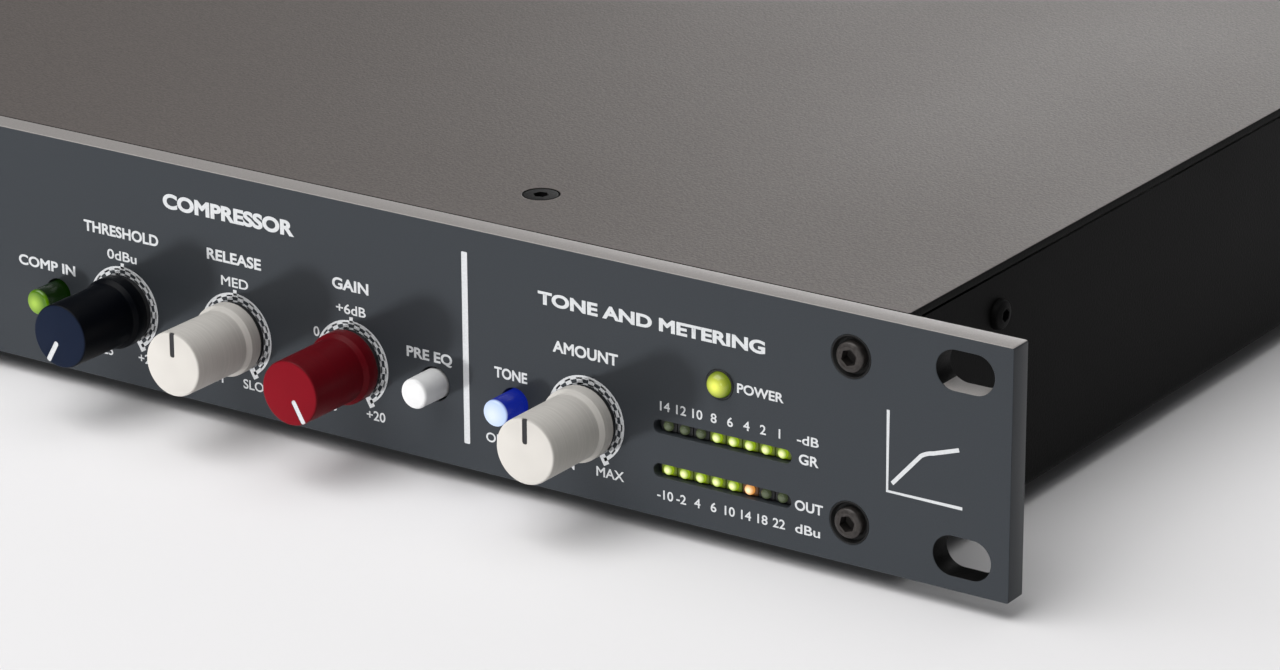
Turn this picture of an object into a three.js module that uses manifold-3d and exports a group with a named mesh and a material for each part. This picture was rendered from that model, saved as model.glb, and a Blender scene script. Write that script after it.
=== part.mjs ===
// A one-unit rack compressor and channel strip, modelled as an assembly of separate pieces.
//
// Units are millimetres, +Z is up and +Y points from the front panel to the back. The origin is
// the centre of the resting plane: half the width, half the overall depth, under the feet.
// Inside the "unit" group, places are told from the front panel: X from its centre line,
// Y behind its front face and Z above its bottom edge.

import * as THREE from "three";
import { mergeVertices } from "three/addons/utils/BufferGeometryUtils.js";
import Module from "manifold-3d";

const wasm = await Module();
wasm.setup();

// ---- Driving dimensions -------------------------------------------------------------------

// Front panel: a 19 inch panel, one rack unit high.
const PANEL_WIDTH = 482.6;
const PANEL_HEIGHT = 43.66;
const PANEL_THICKNESS = 4.5;
const PANEL_RELIEF = 0.3; // shallow step on the back where the chassis meets the panel
const RACK_UNIT_MIDDLE = PANEL_HEIGHT / 2;
const RACK_SLOT_X = 232.55;
const RACK_SLOT_RISE = 15.875;
const RACK_SLOT_LENGTH = 10.7;
const RACK_SLOT_HEIGHT = 6.9;

// Sheet metal case.
const CASE_HALF_WIDTH = 219.5;
const CASE_DEPTH = 240;
const CASE_FRONT = PANEL_THICKNESS;
const CASE_BACK = CASE_FRONT + CASE_DEPTH;
const SHEET = 1.5;
const GAP = 0.3; // air kept between pieces that touch
const WELD = 0.4; // how far blocks of one piece run into each other
const THROUGH = 1; // how far a cutting tool passes the surface it cuts
const COVER_UNDERSIDE = PANEL_HEIGHT - SHEET;
const INNER_TOP = COVER_UNDERSIDE - GAP;
const INNER_FLOOR = SHEET + GAP;
const INNER_HALF_WIDTH = CASE_HALF_WIDTH - SHEET - GAP;
const COVER_FLANGE_DROP = 11;
const COVER_FLANGE_SHEET = 1.2;
const COVER_FLANGE_FRONT = CASE_FRONT + 6;
const COVER_FLANGE_BACK = CASE_BACK - 18;
const FRONT_TAB_WIDTH = 16;
const RAIL_FRONT = 12;
const RAIL_DEPTH = 16;
const RAIL_THICKNESS = 4;
const REAR_FLANGE_DEPTH = 15;
const REAR_FLANGE_HALF_WIDTH = INNER_HALF_WIDTH - 3;
const FOOT_HEIGHT = 3.3;
const FOOT_RADIUS = 6.5;
const FOOT_X = 190;
const FOOT_FRONT_Y = 28;
const FOOT_BACK_Y = CASE_BACK - 24;

// Screws.
const PANEL_SCREW_X = 211.4;
const PANEL_SCREW_HEIGHTS = { upper: 36.1, lower: 7.34 };
const PANEL_SCREW_LENGTH = 11;
const PANEL_SCREW_FLANGE_RADIUS = 3.6;
const PANEL_SCREW_FLANGE_SINK = 0.4; // flange face behind the panel's front face
const PANEL_SCREW_HEAD_RADIUS = 2.75;
const PANEL_SCREW_HEAD_REACH = 0.8;
const PANEL_SCREW_SOCKET_RADIUS = 1.5;
const PANEL_SCREW_SOCKET_BOTTOM = 1.6;
const COVER_SCREW_X = 135.8;
const COVER_SCREW_FRONT_Y = 21.5;
const COVER_SCREW_BACK_Y = CASE_BACK - 9;
const COVER_SCREW_RADIUS = 3.3;
const COVER_SCREW_LENGTH = 5.6;
const COVER_SCREW_SINK = 0.1; // head below the cover's top
const COVER_SCREW_SOCKET_RADIUS = 1.2;
const COVER_SCREW_SOCKET_BOTTOM = 1.1;
const SIDE_SCREW_Y = 33;
const SIDE_SCREW_Z = 35;
const SIDE_SCREW_LENGTH = 6;
const SIDE_SCREW_RADIUS = 2.7;
const SIDE_SCREW_CROWN_RADIUS = 1.4; // flat of the rounded head
const SIDE_SCREW_REACH = 1.5;
const SIDE_SCREW_SOCKET_RADIUS = 1;
const SIDE_SCREW_SOCKET_BOTTOM = 0.7;
const SHANK_RADIUS = 1.4;
const SHANK_HOLE_RADIUS = SHANK_RADIUS + GAP;

// Controls stand on one line across the panel, in sections of equal width.
const CONTROL_Z = 14.3;
const BUTTON_Z = 14.1;
const KNOB_PITCH = 25.4;
const SECTION_PITCH = 107;
const COMPRESSOR_FIRST_KNOB_X = 59.9;
const SECTION_BUTTON_BEFORE = 15.2; // from the section's first knob to the button left of it
const SECTION_BUTTON_AFTER = 68.3; // and to the button right of its last knob
const AMOUNT_KNOB_X = 159.6;
const TONE_BUTTON_X = 145;

const KNOB_REACH = 17.7; // knob face in front of the panel
const KNOB_RADIUS = 5.85;
const KNOB_COLLAR_RADIUS = 6.5;
const KNOB_COLLAR_TOP = 3.4; // where the straight part of the collar ends
const KNOB_FLARE_TOP = 5.2; // where the collar's cone meets the body
const KNOB_PANEL_GAP = 1.2;
const SHAFT_RADIUS = 3;
const SHAFT_REACH = 14;
const SHAFT_BACK = 8;
const SHAFT_HOLE_RADIUS = 4;

const BUTTON_REACH = 6;
const BUTTON_TRAVEL = 1.5;
const PLAIN_BUTTON_RADIUS = 2.75;
const LIT_BUTTON_RADIUS = 2.4;
const BUTTON_HEAD_BACK = 2; // where the head steps down to the stem, behind the panel's face
const BUTTON_CHAMFER = 0.5;
const BUTTON_STEM_RADIUS = 1.7;
const BUTTON_STEM_BACK = 9.7;
const BUTTON_HOLE_CLEARANCE = 0.4;

// Indicators.
const POWER_LED_X = 186.3;
const POWER_LED_Z = 26.1;
const POWER_LED_RADIUS = 2.4;
const POWER_LED_REACH = 1.6;
const METER_X = 186.75;
const METER_LENGTH = 26.4;
const METER_HEIGHT = 2.3;
const METER_RECESS = 0.5; // lens faces behind the panel's front face
const METER_LENS_RISE = 0.2; // lens faces in front of the bar
const METER_LENS_WIDTH = 1.9;
const METER_LENS_HEIGHT = 1.5;
const METER_GAIN_REDUCTION_Z = 16.2;
const METER_OUTPUT_Z = 8.4;
const METER_LEDS = 8;
const METER_LED_PITCH = 3.2;

// Boards and inner parts.
const BOARD_THICKNESS = 1.6;
const CONTROL_BOARD_FRONT = 20;
const CONTROL_BOARD_LEFT = -180;
const CONTROL_BOARD_RIGHT = 205;
const CONTROL_BOARD_LOW = 4;
const CONTROL_BOARD_HIGH = 37;
const POT_HALF_WIDTH = 4.8;
const POT_DROP = 6.5; // below its shaft's axis
const POT_RISE = 5.5; // and above it
const SWITCH_HALF_WIDTH = 3.5;
const POT_FRONT = SHAFT_BACK + GAP;
const SWITCH_FRONT = BUTTON_STEM_BACK + BUTTON_TRAVEL + GAP;
const MAIN_BOARD_Z = 8;
const MAIN_BOARD_CORNER = { left: -205, front: 55 };
const MAIN_BOARD_FAR_CORNER = { right: 110, back: 205 };
const PILLAR_RADIUS = 3;
const PILLAR_XS = [-195, -50, 100];
const PILLAR_YS = [65, 195];
const CAPACITOR_RADIUS = 7;
const CAPACITOR_TOP = 32;
const CAPACITOR_Y = 170;
const CAPACITOR_XS = [40, 58, 76, 94];
const REGULATOR_WIDTH = 11;
const REGULATOR_DEPTH = 5;
const REGULATOR_TOP = 28;
const REGULATOR_Y = 140;
const REGULATOR_XS = [45, 65];
const TRANSFORMER_Y = 150;
const TOROID_X = 165;
const TOROID_RADIUS = 34;
const TOROID_HOLE_RADIUS = 9;
const TOROID_HEIGHT = 31;
const TOROID_SHOULDER = { inward: 3, down: 4 };
const CAN_RADIUS = 12;
const CAN_TOP = 34;
const INPUT_CAN_X = -175;
const OUTPUT_CAN_X = -105;

// Rear connectors.
const MIC_SOCKET_X = -190;
const LINE_SOCKET_X = -155;
const OUTPUT_CONNECTOR_X = -105;
const FLANGE_WIDTH = 26;
const FLANGE_HEIGHT = 31;
const CONNECTOR_BARREL_RADIUS = 11.6;
const CONNECTOR_DEPTH = 20; // how far the barrels reach into the case
const CONNECTOR_CAVITY_DEPTH = 13; // from the case's back to a cavity's bottom
const SOCKET_GROOVE = { inner: 7.4, outer: 9.6 };
const PLUG_CAVITY_RADIUS = 9.3;
const BEZEL_THICKNESS = 2;
const BEZEL_FACE = CASE_BACK + GAP + BEZEL_THICKNESS;
const BODY_SETBACK = 0.5; // a body's outer end behind its bezel's face

// Half widths and half heights of the mains inlet and the power switch.
const INLET_X = 180;
const INLET_BEZEL = { width: 15.5, height: 12 };
const INLET_BODY = { width: 13.5, height: 9.9, depth: 18 };
const INLET_CAVITY = { width: 12, height: 8, chamfer: 4 };
const SWITCH_X = 148;
const SWITCH_BEZEL = { width: 7.8, height: 10.8 };
const SWITCH_BODY = { width: 6.5, height: 9.5, depth: 14 };

// Power rocker: a disc section with a shallow V face, which turns about its own centre.
const ROCKER_RADIUS = 7.4;
const ROCKER_WIDTH = 9.6;
const ROCKER_MIDDLE = 0.6; // V bottom outside the pivot
const ROCKER_TILT = THREE.MathUtils.degToRad(9);
const ROCKER_PIVOT_Y = BEZEL_FACE - 0.4;
const ROCKER_CLEARANCE = 0.5;

// The V face's arm meets the disc where both say the same height.
const ROCKER_ARM_ANGLE =
  ROCKER_TILT + Math.asin((ROCKER_MIDDLE * Math.cos(ROCKER_TILT)) / ROCKER_RADIUS);
const REAR_REACH = ROCKER_PIVOT_Y + ROCKER_RADIUS * Math.sin(ROCKER_ARM_ANGLE + ROCKER_TILT);
const PANEL_FACE_Y = (KNOB_REACH - REAR_REACH) / 2;

// ---- Finishes -----------------------------------------------------------------------------

const finish = (color, roughness, metalness) =>
  new THREE.MeshStandardMaterial({ color, roughness, metalness });

const FINISHES = {
  panel: finish(0x43464b, 0.55, 0.3),
  cover: finish(0x7a7270, 0.6, 0.5),
  tray: finish(0x1c1c1d, 0.6, 0.3),
  rear: finish(0x1f2022, 0.55, 0.3),
  screw: finish(0x151515, 0.35, 0.8),
  cream: finish(0xe0dcd8, 0.4, 0.1),
  red: finish(0x8b1b26, 0.35, 0.4),
  navy: finish(0x222a3b, 0.35, 0.4),
  shaft: finish(0xb9b9b6, 0.3, 0.9),
  white: finish(0xf4f4f2, 0.4, 0),
  blueLit: finish(0x2f57d8, 0.3, 0),
  greenLit: finish(0x92b743, 0.3, 0),
  lens: finish(0xa9c23c, 0.25, 0),
  board: finish(0x1e5a35, 0.5, 0.1),
  rail: finish(0xa8a9ab, 0.4, 0.8),
  transformer: finish(0xb57a2a, 0.5, 0.1),
  can: finish(0x9a9b9d, 0.35, 0.9),
  socket: finish(0x17181a, 0.45, 0.2),
  rocker: finish(0x101011, 0.35, 0),
  rubber: finish(0x101010, 0.9, 0),
};

// ---- Small helpers ------------------------------------------------------------------------

const unit = new THREE.Group();
unit.position.set(0, PANEL_FACE_Y, FOOT_HEIGHT);

function addPiece(name, geometry, material, x = 0, y = 0, z = 0) {
  const mesh = new THREE.Mesh(geometry, material);
  mesh.name = name;
  mesh.position.set(x, y, z);
  unit.add(mesh);
  return mesh;
}

function toSolid(geometry) {
  const bare = geometry.clone();
  bare.deleteAttribute("normal");
  bare.deleteAttribute("uv");
  const merged = mergeVertices(bare, 1e-4);
  return new wasm.Manifold(
    new wasm.Mesh({
      numProp: 3,
      vertProperties: new Float32Array(merged.attributes.position.array),
      triVerts: new Uint32Array(merged.index.array),
    }),
  );
}

function toGeometry(solid) {
  const mesh = solid.getMesh();
  const geometry = new THREE.BufferGeometry();
  geometry.setAttribute("position", new THREE.BufferAttribute(mesh.vertProperties, 3));
  geometry.setIndex(new THREE.BufferAttribute(mesh.triVerts, 1));
  geometry.computeVertexNormals();
  return geometry;
}

function join(...geometries) {
  const solids = geometries.map(toSolid);
  return toGeometry(solids.reduce((whole, solid) => whole.add(solid)));
}

function cut(geometry, ...tools) {
  const solids = tools.map(toSolid);
  return toGeometry(solids.reduce((rest, tool) => rest.subtract(tool), toSolid(geometry)));
}

// A block given by its lowest and highest corners.
function block([x0, y0, z0], [x1, y1, z1]) {
  const geometry = new THREE.BoxGeometry(x1 - x0, y1 - y0, z1 - z0);
  return geometry.translate((x0 + x1) / 2, (y0 + y1) / 2, (z0 + z1) / 2);
}

function rodAlongY(radius, y0, y1, x = 0, z = 0, sides = 24) {
  const geometry = new THREE.CylinderGeometry(radius, radius, y1 - y0, sides);
  return geometry.translate(x, (y0 + y1) / 2, z);
}

function rodAlongZ(radius, z0, z1, x = 0, y = 0, sides = 24) {
  const geometry = new THREE.CylinderGeometry(radius, radius, z1 - z0, sides);
  return geometry.rotateX(Math.PI / 2).translate(x, y, (z0 + z1) / 2);
}

function rodAlongX(radius, x0, x1, y = 0, z = 0, sides = 24) {
  const geometry = new THREE.CylinderGeometry(radius, radius, x1 - x0, sides);
  return geometry.rotateZ(Math.PI / 2).translate((x0 + x1) / 2, y, z);
}

const hexSocket = (radius, y0, y1) => rodAlongY(radius, y0, y1, 0, 0, 6);

// A plate seen from the front: the outline lies in X and Z, from yFront towards the back.
function plate(outline, yFront, thickness, curveSegments = 6) {
  const options = { depth: thickness, bevelEnabled: false, curveSegments };
  const geometry = new THREE.ExtrudeGeometry(outline, options);
  return geometry.rotateX(Math.PI / 2).translate(0, yFront + thickness, 0);
}

// A turned piece on the Y axis: [radius, height] pairs, height measured towards the front.
function turned(profile, sides = 24) {
  const points = profile.map(([radius, height]) => new THREE.Vector2(radius, height));
  return new THREE.LatheGeometry(points, sides).rotateX(Math.PI);
}

function rectangle(x0, z0, x1, z1) {
  const outline = new THREE.Shape();
  outline.moveTo(x0, z0);
  outline.lineTo(x1, z0);
  outline.lineTo(x1, z1);
  outline.lineTo(x0, z1);
  outline.closePath();
  return outline;
}

function roundHole(x, z, radius) {
  const hole = new THREE.Path();
  hole.absarc(x, z, radius, 0, 2 * Math.PI, true);
  return hole;
}

function slotHole(x, z, length, height) {
  const hole = new THREE.Path();
  const reach = (length - height) / 2;
  hole.absarc(x + reach, z, height / 2, Math.PI / 2, -Math.PI / 2, true);
  hole.absarc(x - reach, z, height / 2, -Math.PI / 2, -1.5 * Math.PI, true);
  hole.closePath();
  return hole;
}

function rectangleHole(x0, z0, x1, z1) {
  const hole = new THREE.Path();
  hole.moveTo(x0, z0);
  hole.lineTo(x0, z1);
  hole.lineTo(x1, z1);
  hole.lineTo(x1, z0);
  hole.closePath();
  return hole;
}

// ---- Where the controls are ---------------------------------------------------------------

function sectionKnobs(sectionsBefore, names, material) {
  const firstX = COMPRESSOR_FIRST_KNOB_X - sectionsBefore * SECTION_PITCH;
  return names.map((name, i) => ({ name, x: firstX + i * KNOB_PITCH, material: material[i] }));
}

const { cream, red, navy } = FINISHES;
const KNOBS = [
  ...sectionKnobs(2, ["input_gain", "trim", "filter"], [red, cream, navy]),
  ...sectionKnobs(1, ["low", "mid", "high"], [navy, cream, cream]),
  ...sectionKnobs(0, ["threshold", "release", "makeup_gain"], [navy, cream, red]),
  { name: "amount", x: AMOUNT_KNOB_X, material: cream },
];

const buttonBefore = (sectionsBefore) =>
  COMPRESSOR_FIRST_KNOB_X - sectionsBefore * SECTION_PITCH - SECTION_BUTTON_BEFORE;
const buttonAfter = (sectionsBefore) =>
  COMPRESSOR_FIRST_KNOB_X - sectionsBefore * SECTION_PITCH + SECTION_BUTTON_AFTER;

const BUTTONS = [
  { name: "phantom", x: buttonBefore(2), radius: LIT_BUTTON_RADIUS, material: FINISHES.greenLit },
  { name: "line", x: buttonAfter(2), radius: PLAIN_BUTTON_RADIUS, material: FINISHES.white },
  { name: "eq_in", x: buttonBefore(1), radius: LIT_BUTTON_RADIUS, material: FINISHES.greenLit },
  { name: "high_peak", x: buttonAfter(1), radius: PLAIN_BUTTON_RADIUS, material: FINISHES.white },
  { name: "comp_in", x: buttonBefore(0), radius: LIT_BUTTON_RADIUS, material: FINISHES.greenLit },
  { name: "pre_eq", x: buttonAfter(0), radius: PLAIN_BUTTON_RADIUS, material: FINISHES.white },
  { name: "tone", x: TONE_BUTTON_X, radius: LIT_BUTTON_RADIUS, material: FINISHES.blueLit },
];

const METERS = [
  { name: "gain_reduction_meter", z: METER_GAIN_REDUCTION_Z },
  { name: "output_meter", z: METER_OUTPUT_Z },
];

// The two ends of the unit carry mirrored pieces.
const SIDES = [
  { side: "left", sign: -1 },
  { side: "right", sign: 1 },
];

// ---- Front panel and its screws -----------------------------------------------------------

function panelOutline() {
  const half = PANEL_WIDTH / 2;
  const outline = rectangle(-half, 0, half, PANEL_HEIGHT);
  for (const { sign } of SIDES) {
    for (const rise of [-RACK_SLOT_RISE, RACK_SLOT_RISE]) {
      const z = RACK_UNIT_MIDDLE + rise;
      outline.holes.push(slotHole(sign * RACK_SLOT_X, z, RACK_SLOT_LENGTH, RACK_SLOT_HEIGHT));
    }
    for (const z of Object.values(PANEL_SCREW_HEIGHTS)) {
      outline.holes.push(roundHole(sign * PANEL_SCREW_X, z, PANEL_SCREW_FLANGE_RADIUS + GAP));
    }
  }
  for (const knob of KNOBS) {
    outline.holes.push(roundHole(knob.x, CONTROL_Z, SHAFT_HOLE_RADIUS));
  }
  for (const button of BUTTONS) {
    const radius = button.radius + BUTTON_HOLE_CLEARANCE;
    outline.holes.push(roundHole(button.x, BUTTON_Z, radius));
  }
  outline.holes.push(roundHole(POWER_LED_X, POWER_LED_Z, POWER_LED_RADIUS + GAP));
  for (const meter of METERS) {
    const length = METER_LENGTH + 2 * GAP;
    const height = METER_HEIGHT + 2 * GAP;
    outline.holes.push(slotHole(METER_X, meter.z, length, height));
  }
  return outline;
}

function addFrontPanel() {
  const halfRelief = CASE_HALF_WIDTH + GAP;
  const relief = block(
    [-halfRelief, PANEL_THICKNESS - PANEL_RELIEF, -THROUGH],
    [halfRelief, PANEL_THICKNESS + THROUGH, PANEL_HEIGHT + THROUGH],
  );
  const geometry = cut(plate(panelOutline(), 0, PANEL_THICKNESS), relief);
  addPiece("front_panel", geometry, FINISHES.panel);
}

// Socket screw seen from the front: a thin black flange in the panel's hole, a round head that
// stands a little proud and a shank that reaches the tray's tab.
function panelScrew() {
  const seat = -(PANEL_THICKNESS - PANEL_RELIEF);
  const body = turned([
    [0, -PANEL_SCREW_LENGTH],
    [SHANK_RADIUS, -PANEL_SCREW_LENGTH],
    [SHANK_RADIUS, seat],
    [PANEL_SCREW_FLANGE_RADIUS, seat],
    [PANEL_SCREW_FLANGE_RADIUS, -PANEL_SCREW_FLANGE_SINK],
    [PANEL_SCREW_HEAD_RADIUS, -PANEL_SCREW_FLANGE_SINK],
    [PANEL_SCREW_HEAD_RADIUS, PANEL_SCREW_HEAD_REACH],
    [0, PANEL_SCREW_HEAD_REACH],
  ], 16);
  const mouth = -PANEL_SCREW_HEAD_REACH - THROUGH;
  return cut(body, hexSocket(PANEL_SCREW_SOCKET_RADIUS, mouth, PANEL_SCREW_SOCKET_BOTTOM));
}

function addPanelScrews() {
  const geometry = panelScrew();
  for (const { side, sign } of SIDES) {
    for (const [place, z] of Object.entries(PANEL_SCREW_HEIGHTS)) {
      const name = `panel_screw_${side}_${place}`;
      addPiece(name, geometry, FINISHES.screw, sign * PANEL_SCREW_X, 0, z);
    }
  }
}

// ---- Controls -----------------------------------------------------------------------------

function knobShape() {
  const bore = SHAFT_RADIUS + GAP;
  const boreEnd = SHAFT_REACH + GAP;
  return turned([
    [0, boreEnd],
    [bore, boreEnd],
    [bore, KNOB_PANEL_GAP],
    [KNOB_COLLAR_RADIUS, KNOB_PANEL_GAP],
    [KNOB_COLLAR_RADIUS, KNOB_COLLAR_TOP],
    [KNOB_RADIUS, KNOB_FLARE_TOP],
    [KNOB_RADIUS, KNOB_REACH],
    [0, KNOB_REACH],
  ], 20);
}

function addKnobs() {
  const knob = knobShape();
  const shaft = rodAlongY(SHAFT_RADIUS, -SHAFT_REACH, SHAFT_BACK, 0, 0, 16);
  for (const { name, x, material } of KNOBS) {
    addPiece(`${name}_knob`, knob, material, x, 0, CONTROL_Z);
    addPiece(`${name}_shaft`, shaft, FINISHES.shaft, x, 0, CONTROL_Z);
  }
}

function buttonShape(radius) {
  return turned([
    [0, -BUTTON_STEM_BACK],
    [BUTTON_STEM_RADIUS, -BUTTON_STEM_BACK],
    [BUTTON_STEM_RADIUS, -BUTTON_HEAD_BACK],
    [radius, -BUTTON_HEAD_BACK],
    [radius, BUTTON_REACH - BUTTON_CHAMFER],
    [radius - BUTTON_CHAMFER, BUTTON_REACH],
    [0, BUTTON_REACH],
  ], 16);
}

function addButtons() {
  for (const { name, x, radius, material } of BUTTONS) {
    addPiece(`${name}_button`, buttonShape(radius), material, x, 0, BUTTON_Z);
  }
}

// ---- Indicators ---------------------------------------------------------------------------

function addPowerLed() {
  const back = CONTROL_BOARD_FRONT - GAP;
  const dome = [30, 60].map((degrees) => {
    const angle = THREE.MathUtils.degToRad(degrees);
    return [POWER_LED_RADIUS * Math.cos(angle), POWER_LED_REACH * Math.sin(angle)];
  });
  const geometry = turned([
    [0, -back],
    [POWER_LED_RADIUS, -back],
    [POWER_LED_RADIUS, 0],
    ...dome,
    [0, POWER_LED_REACH],
  ], 16);
  addPiece("power_led", geometry, FINISHES.lens, POWER_LED_X, 0, POWER_LED_Z);
}

// A bar of eight rectangular lenses on one block, which stands on the control board.
function meterShape() {
  const half = METER_HEIGHT / 2;
  const outline = new THREE.Shape();
  const reach = METER_LENGTH / 2 - half;
  outline.absarc(reach, 0, half, -Math.PI / 2, Math.PI / 2, false);
  outline.absarc(-reach, 0, half, Math.PI / 2, 1.5 * Math.PI, false);
  outline.closePath();
  const front = METER_RECESS + METER_LENS_RISE;
  const body = plate(outline, front, CONTROL_BOARD_FRONT - GAP - front, 4);
  const lenses = Array.from({ length: METER_LEDS }, (_, i) => {
    const x = (i - (METER_LEDS - 1) / 2) * METER_LED_PITCH;
    return block(
      [x - METER_LENS_WIDTH / 2, METER_RECESS, -METER_LENS_HEIGHT / 2],
      [x + METER_LENS_WIDTH / 2, front + WELD, METER_LENS_HEIGHT / 2],
    );
  });
  return join(body, ...lenses);
}

function addMeters() {
  const geometry = meterShape();
  for (const { name, z } of METERS) {
    addPiece(name, geometry, FINISHES.lens, METER_X, 0, z);
  }
}

// ---- Case ---------------------------------------------------------------------------------

// Both the tray's wall and the cover's flange are drilled for the side screw.
function sideScrewHole(sign) {
  const x = sign * CASE_HALF_WIDTH;
  const reach = SIDE_SCREW_LENGTH;
  return rodAlongX(SHANK_HOLE_RADIUS, x - reach, x + reach, SIDE_SCREW_Y, SIDE_SCREW_Z, 12);
}

function coverScrewHole(sign, y, radius, bottom, sides) {
  return rodAlongZ(radius, bottom, PANEL_HEIGHT + THROUGH, sign * COVER_SCREW_X, y, sides);
}

// Folded tray: floor, two side walls and a tab at each front corner for the panel screws.
function addBaseTray() {
  const walls = SIDES.map(({ sign }) => {
    const outer = sign * CASE_HALF_WIDTH;
    const inner = sign * (CASE_HALF_WIDTH - SHEET);
    const low = [Math.min(outer, inner), CASE_FRONT, 0];
    return block(low, [Math.max(outer, inner), CASE_BACK, INNER_TOP]);
  });
  const tabs = SIDES.map(({ sign }) => {
    const outer = sign * (CASE_HALF_WIDTH - SHEET / 2);
    const inner = sign * (CASE_HALF_WIDTH - FRONT_TAB_WIDTH);
    const low = [Math.min(outer, inner), CASE_FRONT, SHEET / 2];
    return block(low, [Math.max(outer, inner), CASE_FRONT + SHEET, INNER_TOP]);
  });
  const inside = CASE_HALF_WIDTH - SHEET / 2;
  const floor = block([-inside, CASE_FRONT, 0], [inside, CASE_BACK, SHEET]);
  const holes = SIDES.flatMap(({ sign }) => {
    const x = sign * PANEL_SCREW_X;
    const tabBack = CASE_FRONT + SHEET + THROUGH;
    const tabHoles = Object.values(PANEL_SCREW_HEIGHTS).map((z) =>
      rodAlongY(SHANK_HOLE_RADIUS, CASE_FRONT - THROUGH, tabBack, x, z, 12),
    );
    return [...tabHoles, sideScrewHole(sign)];
  });
  const geometry = cut(join(floor, ...walls, ...tabs), ...holes);
  addPiece("base_tray", geometry, FINISHES.tray);
}

// Flat lid with a flange folded down inside each side wall.
function addTopCover() {
  const half = CASE_HALF_WIDTH;
  const lid = block([-half, CASE_FRONT, COVER_UNDERSIDE], [half, CASE_BACK, PANEL_HEIGHT]);
  const flanges = SIDES.map(({ sign }) => {
    const outer = sign * INNER_HALF_WIDTH;
    const inner = sign * (INNER_HALF_WIDTH - COVER_FLANGE_SHEET);
    const bottom = COVER_UNDERSIDE - COVER_FLANGE_DROP;
    return block(
      [Math.min(outer, inner), COVER_FLANGE_FRONT, bottom],
      [Math.max(outer, inner), COVER_FLANGE_BACK, COVER_UNDERSIDE + WELD],
    );
  });
  const holes = SIDES.flatMap(({ sign }) => {
    const topHoles = [COVER_SCREW_FRONT_Y, COVER_SCREW_BACK_Y].map((y) =>
      coverScrewHole(sign, y, COVER_SCREW_RADIUS + GAP, COVER_UNDERSIDE - THROUGH, 16),
    );
    return [...topHoles, sideScrewHole(sign)];
  });
  const geometry = cut(join(lid, ...flanges), ...holes);
  addPiece("top_cover", geometry, FINISHES.cover);
}

// Bar across the case behind the panel, which takes the two front cover screws.
function addFrontRail() {
  const half = INNER_HALF_WIDTH - COVER_FLANGE_SHEET - GAP;
  const bar = block(
    [-half, RAIL_FRONT, INNER_TOP - RAIL_THICKNESS],
    [half, RAIL_FRONT + RAIL_DEPTH, INNER_TOP],
  );
  const bottom = INNER_TOP - RAIL_THICKNESS - THROUGH;
  const holes = SIDES.map(({ sign }) =>
    coverScrewHole(sign, COVER_SCREW_FRONT_Y, SHANK_HOLE_RADIUS, bottom, 12),
  );
  addPiece("front_rail", cut(bar, ...holes), FINISHES.rail);
}

function rearPanelOutline() {
  const outline = rectangle(-INNER_HALF_WIDTH, INNER_FLOOR, INNER_HALF_WIDTH, INNER_TOP);
  for (const x of [MIC_SOCKET_X, LINE_SOCKET_X, OUTPUT_CONNECTOR_X]) {
    outline.holes.push(roundHole(x, RACK_UNIT_MIDDLE, CONNECTOR_BARREL_RADIUS + GAP));
  }
  const mains = [
    { x: INLET_X, body: INLET_BODY },
    { x: SWITCH_X, body: SWITCH_BODY },
  ];
  for (const { x, body } of mains) {
    const across = body.width + GAP;
    const up = body.height + GAP;
    const middle = RACK_UNIT_MIDDLE;
    outline.holes.push(rectangleHole(x - across, middle - up, x + across, middle + up));
  }
  return outline;
}

function addRearPanel() {
  const wall = plate(rearPanelOutline(), CASE_BACK - SHEET, SHEET, 10);
  const half = REAR_FLANGE_HALF_WIDTH;
  const flange = block(
    [-half, CASE_BACK - REAR_FLANGE_DEPTH, INNER_TOP - SHEET],
    [half, CASE_BACK - SHEET / 2, INNER_TOP],
  );
  const bottom = INNER_TOP - SHEET - THROUGH;
  const holes = SIDES.map(({ sign }) =>
    coverScrewHole(sign, COVER_SCREW_BACK_Y, SHANK_HOLE_RADIUS, bottom, 12),
  );
  addPiece("rear_panel", cut(join(wall, flange), ...holes), FINISHES.rear);
}

// Flush screw in the cover: flat head with a hex socket, and a shank below it.
function coverScrew() {
  const body = turned([
    [0, -COVER_SCREW_LENGTH],
    [SHANK_RADIUS, -COVER_SCREW_LENGTH],
    [SHANK_RADIUS, -SHEET],
    [COVER_SCREW_RADIUS, -SHEET],
    [COVER_SCREW_RADIUS, -COVER_SCREW_SINK],
    [0, -COVER_SCREW_SINK],
  ], 16);
  const socket = hexSocket(COVER_SCREW_SOCKET_RADIUS, -THROUGH, COVER_SCREW_SOCKET_BOTTOM);
  return cut(body, socket).rotateX(-Math.PI / 2);
}

function addCoverScrews() {
  const geometry = coverScrew();
  const rows = { front: COVER_SCREW_FRONT_Y, back: COVER_SCREW_BACK_Y };
  for (const { side, sign } of SIDES) {
    for (const [row, y] of Object.entries(rows)) {
      const name = `cover_screw_${side}_${row}`;
      addPiece(name, geometry, FINISHES.screw, sign * COVER_SCREW_X, y, PANEL_HEIGHT);
    }
  }
}

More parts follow.
